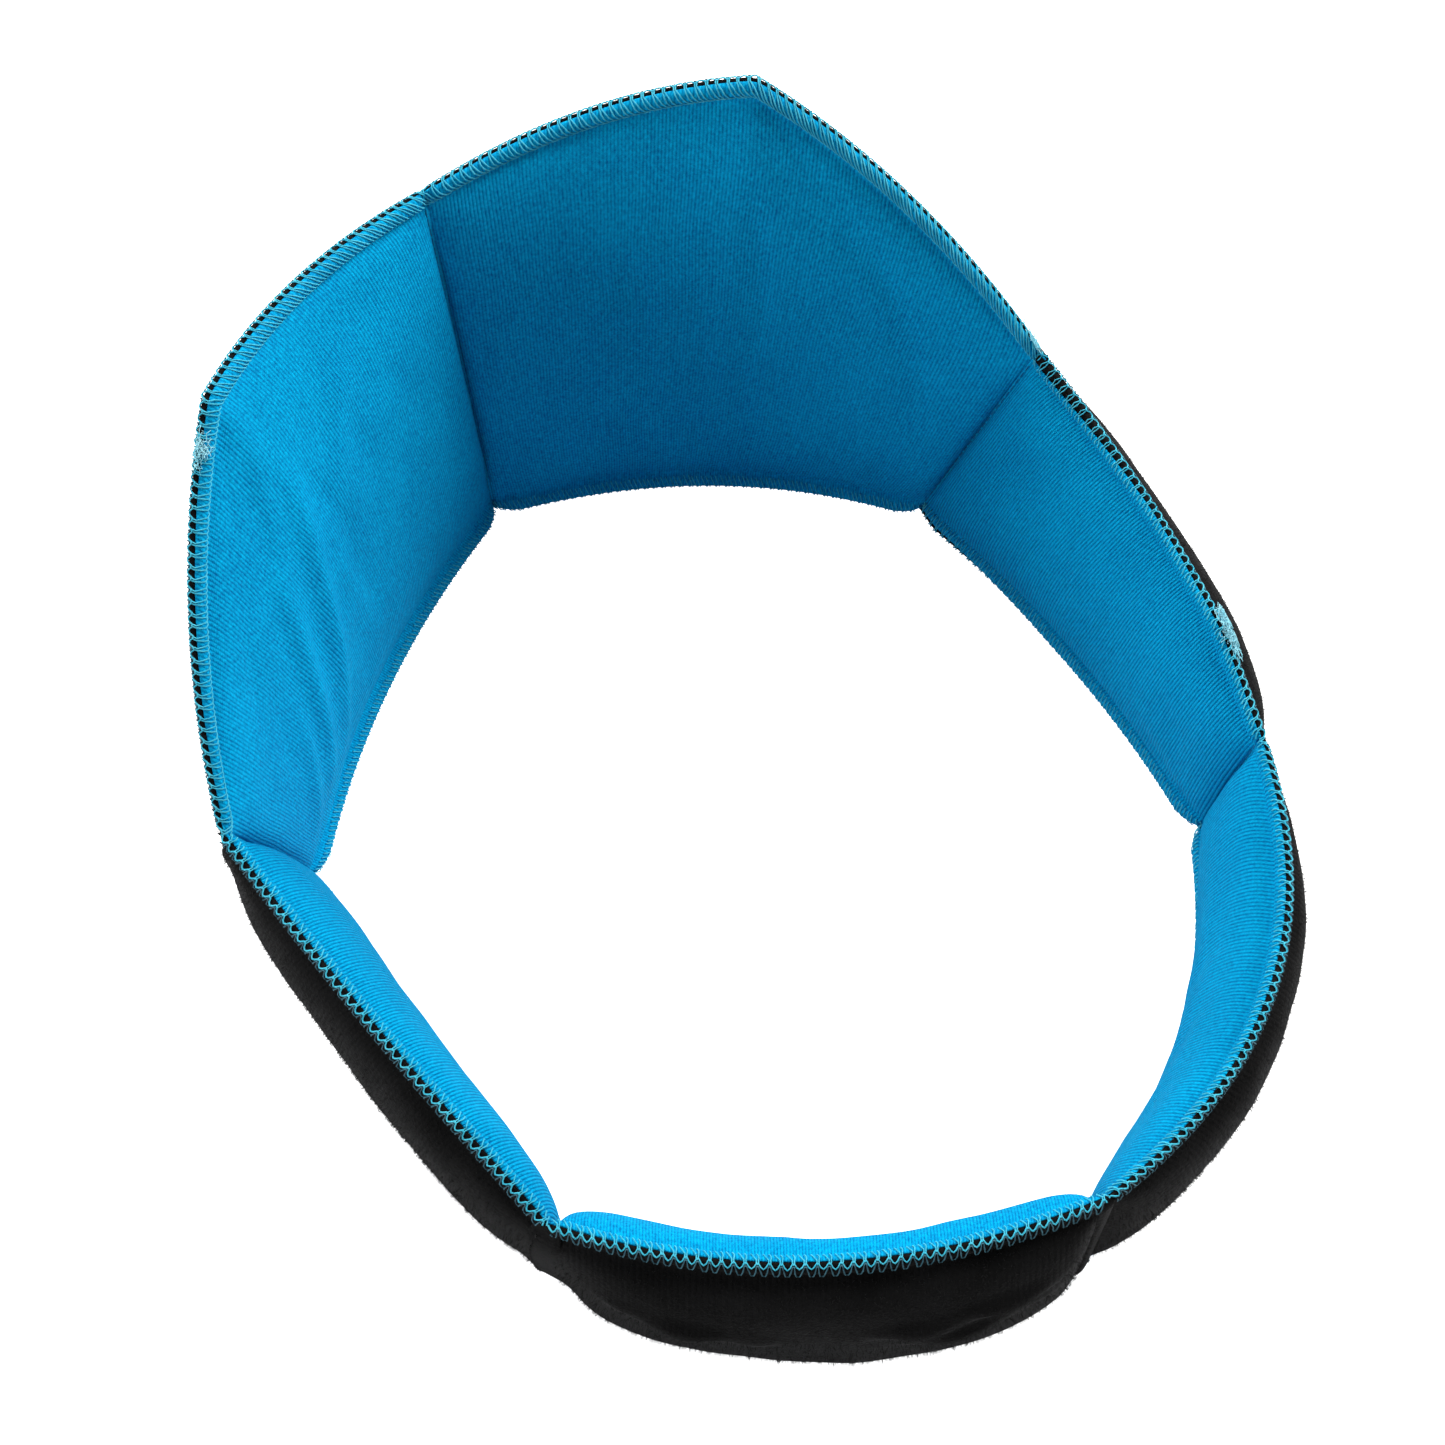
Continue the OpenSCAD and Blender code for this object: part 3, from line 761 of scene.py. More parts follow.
@dataclass
class PaddedPad:
    """One pad: its cover, lining, foam insert and overlocked edges.

    Args:
        shape: the ring that the pad is part of.
        pad: which pad it is.
        first_band: section of the pinched band at the pad's first side.
        cover_padding: height of the cover's swelling over the middle.
        lining_padding: depth of the lining's swelling.
        band_change: share of the width over which the first band turns into the plain one.
        swelling_cap: furthest that the cloth may swell past its drawn section.
        cloth: thickness of the cloth.
        neck_curl: how far in the neck edge curls.
        fullness: how soon the padding rises from the pad's sides; more is sooner.
        fibres: number of fibres of the cover's pile.
        columns: columns of the cloth across the pad.
        row_pitch: distance between the cloth's rows.
        pinch: share of the width that each side seam presses.
        wrinkles: wrinkles of each cloth face.
    """

    shape: CollarShape
    pad: Pad
    first_band: BandSection = PLAIN_BAND
    cover_padding: float = 6.2 * MM
    lining_padding: float = 6.2 * MM
    band_change: float = 0.45
    swelling_cap: float = 3.0 * MM
    cloth: float = 0.35 * MM
    neck_curl: float = 2.4 * MM
    fullness: float = 5.0
    fibres: int = 5000
    columns: int = 50
    row_pitch: float = 2.2 * MM
    pinch: float = 0.02
    wrinkles: dict[Face, tuple[Wrinkle, ...]] = field(default_factory=dict)

    @property
    def rows(self) -> int:
        """Quads up the padded part of the cloth."""
        tallest = max(self.shape.cloth_length(self.pad, t / 20) for t in range(21))
        return max(14, round(tallest / self.row_pitch))

    def band(self, share: float) -> BandSection:
        """The band's section at a share across the pad."""
        part = min(1.0, share / self.band_change)
        return self.first_band.mixed(PLAIN_BAND, part) if self.first_band is not PLAIN_BAND else PLAIN_BAND

    def across(self, share: float) -> float:
        """Place across the ring's straight width for a share of the pad's own cloth."""
        cut = self.shape.pads[self.pad]
        return cut.start + (cut.end - cut.start) * share

    def section(self, face: Face, share: float, row: int) -> tuple[float, float]:
        """Height and distance out of one row of the cloth.

        Args:
            face: cover or lining.
            share: share across the pad's own cloth.
            row: row number from the neck lip.

        Returns:
            Height up the cloth and distance out, in metres.
        """
        rows, count, pinch = self.band(share).rows(face), self.rows, PLAIN_BAND.pinch
        padding = self.cover_padding if face is Face.COVER else self.lining_padding
        length = self.shape.cloth_length(self.pad, self.across(share))
        last = 2 * (len(rows) - 1) + count
        up = 0.0
        if row < len(rows):
            height, out = rows[row]
        elif row > last - len(rows):
            height, out = length - rows[last - row][0], rows[last - row][1]
        else:
            step = (row - len(rows) + 1) / count
            up = 0.5 * step + 0.25 * (1 - math.cos(math.pi * step))
            across = self.swell(share, self.fullness)
            swell = padding * across * self.swell(up) * self.flat_behind_tongue(face, share, up)
            if face is Face.COVER:
                swell = max(swell, self.shape.seam_swelling * self.swell(up)) * self.turned(share)
            height = pinch + (length - 2 * pinch) * up
            out = rows[-1][1] + face.value * swell
        if row not in (0, last) and face is Face.LINING:
            out += (-self.shape.seam_out - out) * self.pressed(share)
        return height, out + self.curl(share, height)

    def turned(self, share: float) -> float:
        """Share of the padding that is left beside the line where the ring opens, from 0 to 1."""
        gap = {Pad.END_RIGHT: 1 - share, Pad.END_LEFT: share}.get(self.pad, 1.0)
        return math.sqrt(1 - (1 - min(1.0, gap / 0.05)) ** 2)

    def curl(self, share: float, height: float) -> float:
        """How far in the neck edge curls at a place, as a negative distance out."""
        fade = min(1.0, max(0.0, min(share, 1 - share) / 0.06))
        return -self.neck_curl * fade * max(0.0, 1 - height / (1.6 * PLAIN_BAND.pinch))

    def pressed(self, share: float) -> float:
        """How strongly the seams at the pad's sides press its cloths together, from 0 to 1."""
        return 1 - math.sqrt(min(1.0, max(0.0, min(share, 1 - share) / self.pinch)))

    def swell(self, share: float, fullness: float = 3.2) -> float:
        """Roundness of the padding between two edges."""
        return math.sqrt(max(0.0, 1 - abs(2 * share - 1) ** fullness))

    def flat_behind_tongue(self, face: Face, share: float, up: float) -> float:
        """Share of the padding that is left where the tongue lies, below the roll along the rim."""
        if self.pad is not Pad.END_LEFT or face is Face.COVER:
            return 1.0
        beside = (share - 0.36) / 0.2
        above = (up - 0.78) / 0.06
        return min(1.0, max(0.12, beside, above))

    def cushion(self) -> bpy.types.Object:
        """The closed cushion of both cloth faces before it swells, with its pinned edges as a group."""
        band = len(PLAIN_BAND.cover)
        last = 2 * (band - 1) + self.rows
        whole = bmesh.new()
        whole.verts.layers.float.new("held")
        for face in Face:

            def place(share: float, up: float, face: Face = face) -> Vector:
                height, out = self.section(face, share, round(up * last))
                return self.shape.place(self.pad, self.across(share), height, out)

            def flat(share: float, up: float, face: Face = face) -> tuple[float, float]:
                height, _ = self.section(face, share, round(up * last))
                return self.across(share) * self.shape.pad_width, height

            sheet = mapped_grid(self.columns, last, place, flat)
            layer = sheet.verts.layers.float.new("held")
            for vert in sheet.verts:
                row, column = divmod(vert.index, self.columns + 1)
                fixed = row < band or row > last - band or column in (0, self.columns)
                vert[layer] = 1.0 if fixed else 0.0
            for quad in sheet.faces:
                quad.material_index = 0 if face is Face.COVER else 1
            if face is Face.LINING:
                bmesh.ops.reverse_faces(sheet, faces=sheet.faces)
            part = bpy.data.meshes.new("part")
            sheet.to_mesh(part)
            sheet.free()
            whole.from_mesh(part)
            bpy.data.meshes.remove(part)
        bmesh.ops.remove_doubles(whole, verts=whole.verts, dist=0.02 * MM)
        whole.verts.index_update()
        held = whole.verts.layers.float["held"]
        pinned = [v.index for v in whole.verts if v[held] > 0.5]
        cushion = mesh_piece(self.pad.body + "_cushion", whole)
        cushion.vertex_groups.new(name="pinned").add(pinned, 1.0, "REPLACE")
        return cushion

    def start_swelling(self, cushion: bpy.types.Object) -> None:
        """Adds the cloth that the foam's pressure pushes out."""
        settings = add_modifier(cushion, "CLOTH").settings
        settings.quality = 5
        settings.mass = 0.12
        settings.tension_stiffness = settings.compression_stiffness = 12
        settings.shear_stiffness = 4
        settings.bending_stiffness = 0.25
        settings.effector_weights.gravity = 0
        settings.use_pressure = True
        settings.uniform_pressure_force = 4
        settings.vertex_group_mass = "pinned"

    def settle(self, cushion: bpy.types.Object) -> None:
        """Applies the swelling, with each point's move capped."""
        rest = np.array([v.co for v in cushion.data.vertices], float)
        if any(m.type == "CLOTH" for m in cushion.modifiers):
            swollen = cushion.evaluated_get(bpy.context.evaluated_depsgraph_get()).data
            moved = np.array([v.co for v in swollen.vertices], float) - rest
            far = np.linalg.norm(moved, axis=1, keepdims=True)
            LOG.info("%s swells by up to %.1f mm", self.pad.body, far.max() / MM)
            cushion.modifiers.clear()
            soft = self.swelling_cap * np.tanh(far / self.swelling_cap)
            rest = rest + moved * soft / np.maximum(far, 1e-9)
            cushion.data.vertices.foreach_set("co", rest.astype(np.float32).ravel())
            cushion.data.update()

    def cloth_face(
        self, cushion: bpy.types.Object, face: Face, finish: bpy.types.Material
    ) -> bpy.types.Object:
        """One cloth of the pad, cut from the swollen cushion and given its thickness."""
        index = 0 if face is Face.COVER else 1
        cut = bmesh.new()
        cut.from_mesh(cushion.data)
        bmesh.ops.delete(cut, geom=[f for f in cut.faces if f.material_index != index], context="FACES")
        for quad in cut.faces:
            quad.material_index = 0
        self.fold(cut, face)
        name = f"{self.pad.body}_{face.name.lower()}_cloth"
        piece = mesh_piece(name, cut, finish)
        add_modifier(piece, "SOLIDIFY", thickness=self.cloth, offset=-1.0)
        add_modifier(piece, "SUBSURF", levels=1, render_levels=1)
        return piece

    def fold(self, cut: bmesh.types.BMesh, face: Face) -> None:
        """Raises this pad's wrinkles and a faint unevenness on one cloth."""
        cloth = cut.loops.layers.uv["cloth"]
        cut.normal_update()
        foot = PLAIN_BAND.pinch
        for vert in cut.verts:
            if not vert.link_loops:
                continue
            x, y = vert.link_loops[0][cloth].uv
            across = x / self.shape.pad_width
            length = self.shape.cloth_length(self.pad, across)
            up = (y - foot) / (length - 2 * foot)
            edge = min(across, 1 - across, up, 1 - up)
            if edge <= 0:
                continue
            rise = 0.5 * MM * noise.noise(vert.co * 45) + 0.25 * MM * noise.noise(vert.co * 120)
            rise += sum(w.height(across, up) for w in self.wrinkles.get(face, ()))
            vert.co += vert.normal * rise * min(1.0, edge / 0.08)

    def pile(self, cover: bpy.types.Object, finish: bpy.types.Material) -> bpy.types.Object:
        """Short fibres that stand out of the cover's pile and make its outline soft."""
        chance = random.Random(100 + self.pad)
        mesh = cover.data
        areas = [polygon.area for polygon in mesh.polygons]
        strands = []
        for polygon in chance.choices(mesh.polygons, weights=areas, k=self.fibres):
            corners_of = [mesh.vertices[v].co for v in polygon.vertices]
            low = corners_of[0].lerp(corners_of[1], chance.random())
            high = corners_of[3].lerp(corners_of[2], chance.random())
            root = low.lerp(high, chance.random())
            lean = Vector([chance.gauss(0, 0.45) for _ in range(3)]) + Vector((0, 0, -0.3))
            tip = root + (polygon.normal + lean).normalized() * chance.uniform(0.35, 0.85) * MM
            strands.append(((root, tip), (0.055 * MM, 0.02 * MM)))
        return thread_piece(self.pad.body + "_pile", strands, finish)

    def insert(self, finish: bpy.types.Material) -> bpy.types.Object:
        """Foam insert between the two cloths."""
        columns, rows, margin, slack = 20, 16, 0.05, 0.8
        whole = bmesh.new()
        for face in Face:

            def place(share: float, up: float, face: Face = face) -> Vector:
                inner = margin + (1 - 2 * margin) * share
                length = self.shape.cloth_length(self.pad, self.across(inner))
                swell = self.swell(share) * self.swell(up) * self.flat_behind_tongue(face, inner, 0.0)
                height = length * (0.09 + 0.82 * up)
                out = face.value * slack * (self.lining_padding - self.cloth) * swell
                return self.shape.place(self.pad, self.across(inner), height, out)

            sheet = mapped_grid(columns, rows, place, lambda share, up: (share, up))
            if face is Face.LINING:
                bmesh.ops.reverse_faces(sheet, faces=sheet.faces)
            part = bpy.data.meshes.new("part")
            sheet.to_mesh(part)
            sheet.free()
            whole.from_mesh(part)
            bpy.data.meshes.remove(part)
        bmesh.ops.remove_doubles(whole, verts=whole.verts, dist=0.02 * MM)
        return mesh_piece(self.pad.body + "_foam_insert", whole, finish)

    def dress(self, cushion: bpy.types.Object, wardrobe: Wardrobe) -> list[bpy.types.Object]:
        """Cuts the cloths, adds the foam and the overlocked edges, and puts all on the pad's body."""
        body = self.pad.body
        cover = self.cloth_face(cushion, Face.COVER, wardrobe.velour)
        slack = (Pad.CENTRE_LEFT, Pad.CENTRE_RIGHT, Pad.END_LEFT)
        knit = wardrobe.slack_jersey if self.pad in slack else wardrobe.jersey
        lining = self.cloth_face(cushion, Face.LINING, knit)
        bpy.data.objects.remove(cushion)
        foam = self.insert(wardrobe.foam)
        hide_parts(body + "_cover")
        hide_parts(body + "_lining")
        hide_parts(body + "_foam")
        for piece, slot, fill in (
            (cover, "velour_black", 0.7),
            (lining, "jersey_blue", 0.7),
            (foam, "foam", 1.0),
        ):
            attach(piece, body)
        pile = self.pile(cover, wardrobe.pile)
        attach(pile, body)
        pieces = [cover, lining, foam, pile]
        for edge in Edge:
            work = Overlock(self, edge, random.Random(10 * self.pad + len(edge.value)))
            threads = work.pieces(wardrobe)
            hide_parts(f"{body}_{edge.value}_edging")
            for piece in threads:
                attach(piece, body)
            pieces += threads
        return pieces


@dataclass
class Tuft:
    """A clump of loose thread ends on a pad's rim.

    Args:
        share: where it is along the rim.
        length: how far it reaches along the rim.
        strands: how many ends it has.
        run: where it lies on the band's section.
    """

    share: float
    length: float
    strands: int
    run: float = 0.0


TUFTS: dict[Pad, tuple[Tuft, ...]] = {
    Pad.CENTRE_RIGHT: (Tuft(0.985, 3 * MM, 26),),
    Pad.SIDE_RIGHT: (Tuft(0.76, 8 * MM, 170, 1.4 * MM),),
    Pad.END_LEFT: (Tuft(0.006, 0.5 * MM, 16, 4.4 * MM),),
    Pad.CENTRE_LEFT: (Tuft(0.47, 4 * MM, 50),),
}


@dataclass
class Overlock:
    """Three-thread overlocking along one edge of a pad.

    The inner looper covers the lining in slanted strands, which come together in rungs across the lip. The
    chain hangs in scallops between the rungs, with open holes above it. The outer looper zigzags down the
    cover from the chain.

    Args:
        owner: the pad.
        edge: which edge of the pad.
        chance: source of the small irregularities.
        pitch: length of a stitch before a whole number of them is fitted.
        outer_foot: how far the outer looper reaches down the cover.
        thread: radius of the looper threads.
        chain: radius of the chain on the lip.
        overrun: how far the strands run past the pad's ends, in stitches.
        samples: steps for measuring the edge.
    """

    owner: PaddedPad
    edge: Edge
    chance: random.Random
    pitch: float = 2.1 * MM
    outer_foot: float = 4.3 * MM
    thread: float = 0.14 * MM
    chain: float = 0.17 * MM
    overrun: float = 0.3
    samples: int = 200

    def __post_init__(self) -> None:
        """Measures the edge and fits a whole number of stitches to it."""
        shape, pad = self.owner.shape, self.owner.pad
        self.shares = [self.owner.across(k / self.samples) for k in range(self.samples + 1)]
        line = [shape.ends(pad, u)[0 if self.edge is Edge.NECK else 1] for u in self.shares]
        steps = [(b - a).length for a, b in zip(line, line[1:])]
        self.lengths = [0.0, *(float(way) for way in np.cumsum(steps))]
        self.count = round(self.lengths[-1] / self.pitch)
        self.step = self.lengths[-1] / self.count
        self.plain = self.owner.pad not in (Pad.CENTRE_LEFT, Pad.CENTRE_RIGHT)
        if self.edge is Edge.RIM:
            self.inner_foot, self.lean = (-1.5 * MM, -0.3) if self.plain else (-4.4 * MM, -1.6)
        else:
            self.inner_foot, self.lean = -4.0 * MM, 0.8

    def at(self, stitch: float, run: float, lift: float) -> Vector:
        """Point on the band.

        Args:
            stitch: place along the edge, counted in stitches.
            run: way along the section from the lip, negative down the lining and positive down the cover.
            lift: distance off the cloth.
        """
        owner = self.owner
        inside = min(max(stitch, 0.0), float(self.count))
        along = inside * self.step
        across = float(np.interp(along, self.lengths, self.shares))
        across += (stitch - inside) * self.step / owner.shape.pad_width
        share = along / self.lengths[-1]
        depth, out = owner.band(share).wrap(run, lift)
        held = max(out, -owner.shape.seam_out - 0.15 * MM)
        out += (held - out) * owner.pressed(share)
        height = depth if self.edge is Edge.NECK else owner.shape.cloth_length(owner.pad, across) - depth
        out += owner.curl(share, height)
        return owner.shape.place(owner.pad, across, height, out)

    def within(self, stitch: float) -> bool:
        """Whether a place lies on the edge or just past its ends, where the seams join the pads."""
        return -self.overrun <= stitch <= self.count + self.overrun

    def opening(self, stitch: float) -> float:
        """Extra way that the rungs cross before the chain."""
        return self.owner.band(min(max(stitch / self.count, 0.0), 1.0)).opening

    def inner_looper(self) -> list[list[Vector]]:
        """Strands that climb the lining, cross the lip as rungs and climb down again."""
        strands = []
        for k in range(-2, self.count + 3):
            middle = k + 0.5 + self.chance.uniform(-0.08, 0.08)
            foot = self.inner_foot + self.chance.uniform(-0.2, 0.2) * MM
            legs = []
            for side in (-1, 1):
                leg = []
                for climb in (0.0, 0.25, 0.5, 0.75, 1.0):
                    slant = self.lean * (climb + 0.12 * math.sin(math.pi * climb))
                    run = foot * (1 - climb) - 0.2 * MM * climb
                    lift = 0.06 * MM if self.plain and climb < 1 else 0.13 * MM
                    leg.append((middle + side * (0.25 - 0.17 * climb**3) + slant, run, lift))
                top = middle + self.lean
                opening = self.opening(top)
                leg.append((top + side * (0.09 + 0.07 * opening / MM), 0.3 * MM + 0.5 * opening, 0.2 * MM))
                leg.append((top + side * 0.05, 0.65 * MM + opening, 0.16 * MM))
                legs.append(leg)
            line = [self.at(*spot) for spot in (*legs[0], *reversed(legs[1])) if self.within(spot[0])]
            if len(line) > 2:
                strands.append(line)
        return strands

    def rung(self, stitch: int) -> float:
        """Place of a stitch's rung across the lip, counted in stitches."""
        return stitch + (0.5 + self.lean) % 1

    def lip_chain(self) -> list[Vector]:
        """Line of the scalloped chain along the outside of the lip."""
        points: list[Vector] = []
        for k in range(-1, self.count + 1):
            rung, low = self.rung(k), self.chance.uniform(1.25, 1.5) * MM
            side = 0.55 * low + 0.3 * MM
            for place, run in ((-0.1, 0.5 * MM), (0.1, 0.5 * MM), (0.28, side), (0.5, low), (0.72, side)):
                if self.within(rung + place):
                    points.append(self.at(rung + place, run + self.opening(rung), 0.2 * MM))
        return points

    def outer_looper(self) -> list[Vector]:
        """Line of the thread that zigzags down the cover."""
        points: list[Vector] = []
        for k in range(-1, self.count + 1):
            rung, jog = self.rung(k), self.chance.uniform(-0.1, 0.1)
            opening = self.opening(rung)
            foot = self.outer_foot + self.chance.uniform(-0.5, 0.3) * MM + 0.6 * opening
            for place, run in (
                (0.08, 0.9 * MM + opening),
                (0.24 + jog, 0.5 * (foot + opening)),
                (0.36 + jog, 0.9 * foot),
                (0.5 + jog, foot),
                (0.64 + jog, 0.9 * foot),
                (0.76 + jog, 0.5 * (foot + opening)),
                (0.92, 0.9 * MM + opening),
            ):
                if 0 <= rung + place <= self.count:
                    points.append(self.at(rung + place, run, 0.3 * MM))
        return points

    def needle_line(self) -> list[list[Vector]]:
        """Short dashes of the needle thread just below the inner looper's feet."""
        depth = self.inner_foot - 0.35 * MM
        stitches = range(2, self.count - 2)
        return [[self.at(k + way, depth, 0.2 * MM) for way in (0.1, 0.35, 0.6)] for k in stitches]

    def loose_ends(self) -> list[tuple[list[Vector], tuple[float, float]]]:
        """Curled thread ends of this pad's tufts."""
        strands = []
        for tuft in TUFTS.get(self.owner.pad, ()):
            for _ in range(tuft.strands):
                reach = 0.5 * tuft.length / self.step
                stitch = tuft.share * self.count + self.chance.uniform(-reach, reach)
                size = min(1.0, tuft.length / (3 * MM))
                run, lift, line = tuft.run + size * self.chance.uniform(-0.7, 0.7) * MM, 0.2 * MM, []
                for _ in range(7):
                    line.append(self.at(stitch, run, lift))
                    stitch += size * self.chance.gauss(0, 0.28)
                    run += size * self.chance.gauss(0, 0.25) * MM
                    lift = min(max(lift + self.chance.gauss(0.12, 0.3) * MM, 0.0), 1.4 * size * MM)
                strands.append((line, (0.09 * MM, 0.07 * MM)))
        return strands

    def pieces(self, wardrobe: Wardrobe) -> list[bpy.types.Object]:
        """The edge's pale threads, its outside threads painted darker as shade in the pile, and its loose
        ends.
        """
        name = f"{self.owner.pad.body}_{self.edge.value}"
        thick, thin = (self.chain, self.chain), (self.thread, self.thread)
        pale = [(strand, thin) for strand in self.inner_looper()]
        pale.append((self.lip_chain(), thick))
        if self.edge is Edge.RIM and self.owner.pad in (Pad.CENTRE_LEFT, Pad.CENTRE_RIGHT):
            pale += [(dash, thin) for dash in self.needle_line()]
        pieces = [
            thread_piece(name + "_overlock", pale, wardrobe.thread),
            # The outside looper's finish is painted shade of the pale thread in the pile.
            thread_piece(name + "_overlock_outside", [(self.outer_looper(), thin)], wardrobe.sunk_thread),
        ]
        if self.edge is Edge.RIM and self.owner.pad in TUFTS:
            pieces.append(thread_piece(name + "_loose_ends", self.loose_ends(), wardrobe.lint))
        return pieces


# ---------------------------------------------------------------------------------------------------------
# Seams, closure and studio
# ---------------------------------------------------------------------------------------------------------


@dataclass
class StitchedSeam:
    """The line where two pads are sewn together, as a narrow fold of both cloths and its stitches.

    Args:
        shape: the ring.
        name: name of the seam's stitches in the frame.
        seam: number of the seam.
        before: pad that ends at the seam.
        after: pad that starts there.
        reach: share of a pad's width that the fold covers on each side.
        depth: depth of the fold's lining.
        stitch: distance between stitches.
    """

    shape: CollarShape
    name: str
    seam: int
    before: Pad
    after: Pad
    reach: float = 0.022
    depth: float = 0.45 * MM
    stitch: float = 2.6 * MM

    def out(self, face: Face, up: float) -> float:
        """Distance out of the fold's cloth at a share of the seam's height."""
        if face is Face.LINING:
            return -self.depth
        inner = min(1.0, max(0.0, (up - 0.07) / 0.86))
        return 0.7 * MM + self.shape.seam_swelling * math.sqrt(max(0.0, 1 - abs(2 * inner - 1) ** 3.2))

    def fold(self, face: Face, finish: bpy.types.Material) -> bpy.types.Object:
        """One cloth of the fold, from a little inside one pad to a little inside the next."""
        inset = 0.4 * MM

        def place(share: float, up: float) -> Vector:
            turn = 2 * share - 1
            if turn < 0:
                pad, across = self.before, 1 + turn * self.reach
            else:
                pad, across = self.after, turn * self.reach
            length = self.shape.cloth_length(pad, across)
            return self.shape.place(pad, across, inset + (length - 2 * inset) * up, self.out(face, up))

        def flat(share: float, up: float) -> tuple[float, float]:
            return 2 * self.reach * share * self.shape.pad_width, up * self.shape.seam_lengths[self.seam]

        strip = mapped_grid(6, 24, place, flat)
        if face is Face.LINING:
            bmesh.ops.reverse_faces(strip, faces=strip.faces)
        piece = mesh_piece(f"{self.name}_fold_{face.name.lower()}", strip, finish)
        add_modifier(piece, "SOLIDIFY", thickness=0.3 * MM, offset=-1.0)
        return piece

    def stitches(self, side: Face, finish: bpy.types.Material) -> bpy.types.Object:
        """Short stitches along the seam, on one side of it."""
        length = self.shape.seam_lengths[self.seam]
        margin = 4 * MM
        count = round((length - 2 * margin) / self.stitch)
        strands = []
        for k in range(count):
            ends = [margin + (k + share) * self.stitch for share in (0.1, 0.4, 0.7, 0.9)]
            base = self.out(side, ends[1] / length)
            lifts = [base + side.value * lift * MM for lift in (-0.15, 0.15, 0.15, -0.15)]
            line = [self.shape.place(self.after, 0.0, h, out) for h, out in zip(ends, lifts)]
            strands.append((line, (0.15 * MM, 0.15 * MM)))
        return thread_piece(f"{self.name}_stitches_{side.name.lower()}", strands, finish)

    def dress(self, wardrobe: Wardrobe, holder: Pad) -> list[bpy.types.Object]:
        """Builds the folds and stitches, sets the folds to bend between the two pads, and puts the stitches
        on the holding pad.
        """
        start = self.shape.place(self.before, 1 - self.reach, 0.02, 0)
        end = self.shape.place(self.after, self.reach, 0.02, 0)
        cover = self.fold(Face.COVER, wardrobe.velour)
        lining = self.fold(Face.LINING, wardrobe.jersey)
        for piece, slot in ((cover, "velour_black"), (lining, "jersey_blue")):
            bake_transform(piece, self.before.body, self.after.body, start=start, end=end)
        outside = self.stitches(Face.COVER, wardrobe.pile)
        inside = self.stitches(Face.LINING, wardrobe.seam_thread)
        for piece in (outside, inside):
            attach(piece, holder.body)
        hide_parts(self.name)
        return [cover, lining, outside, inside]


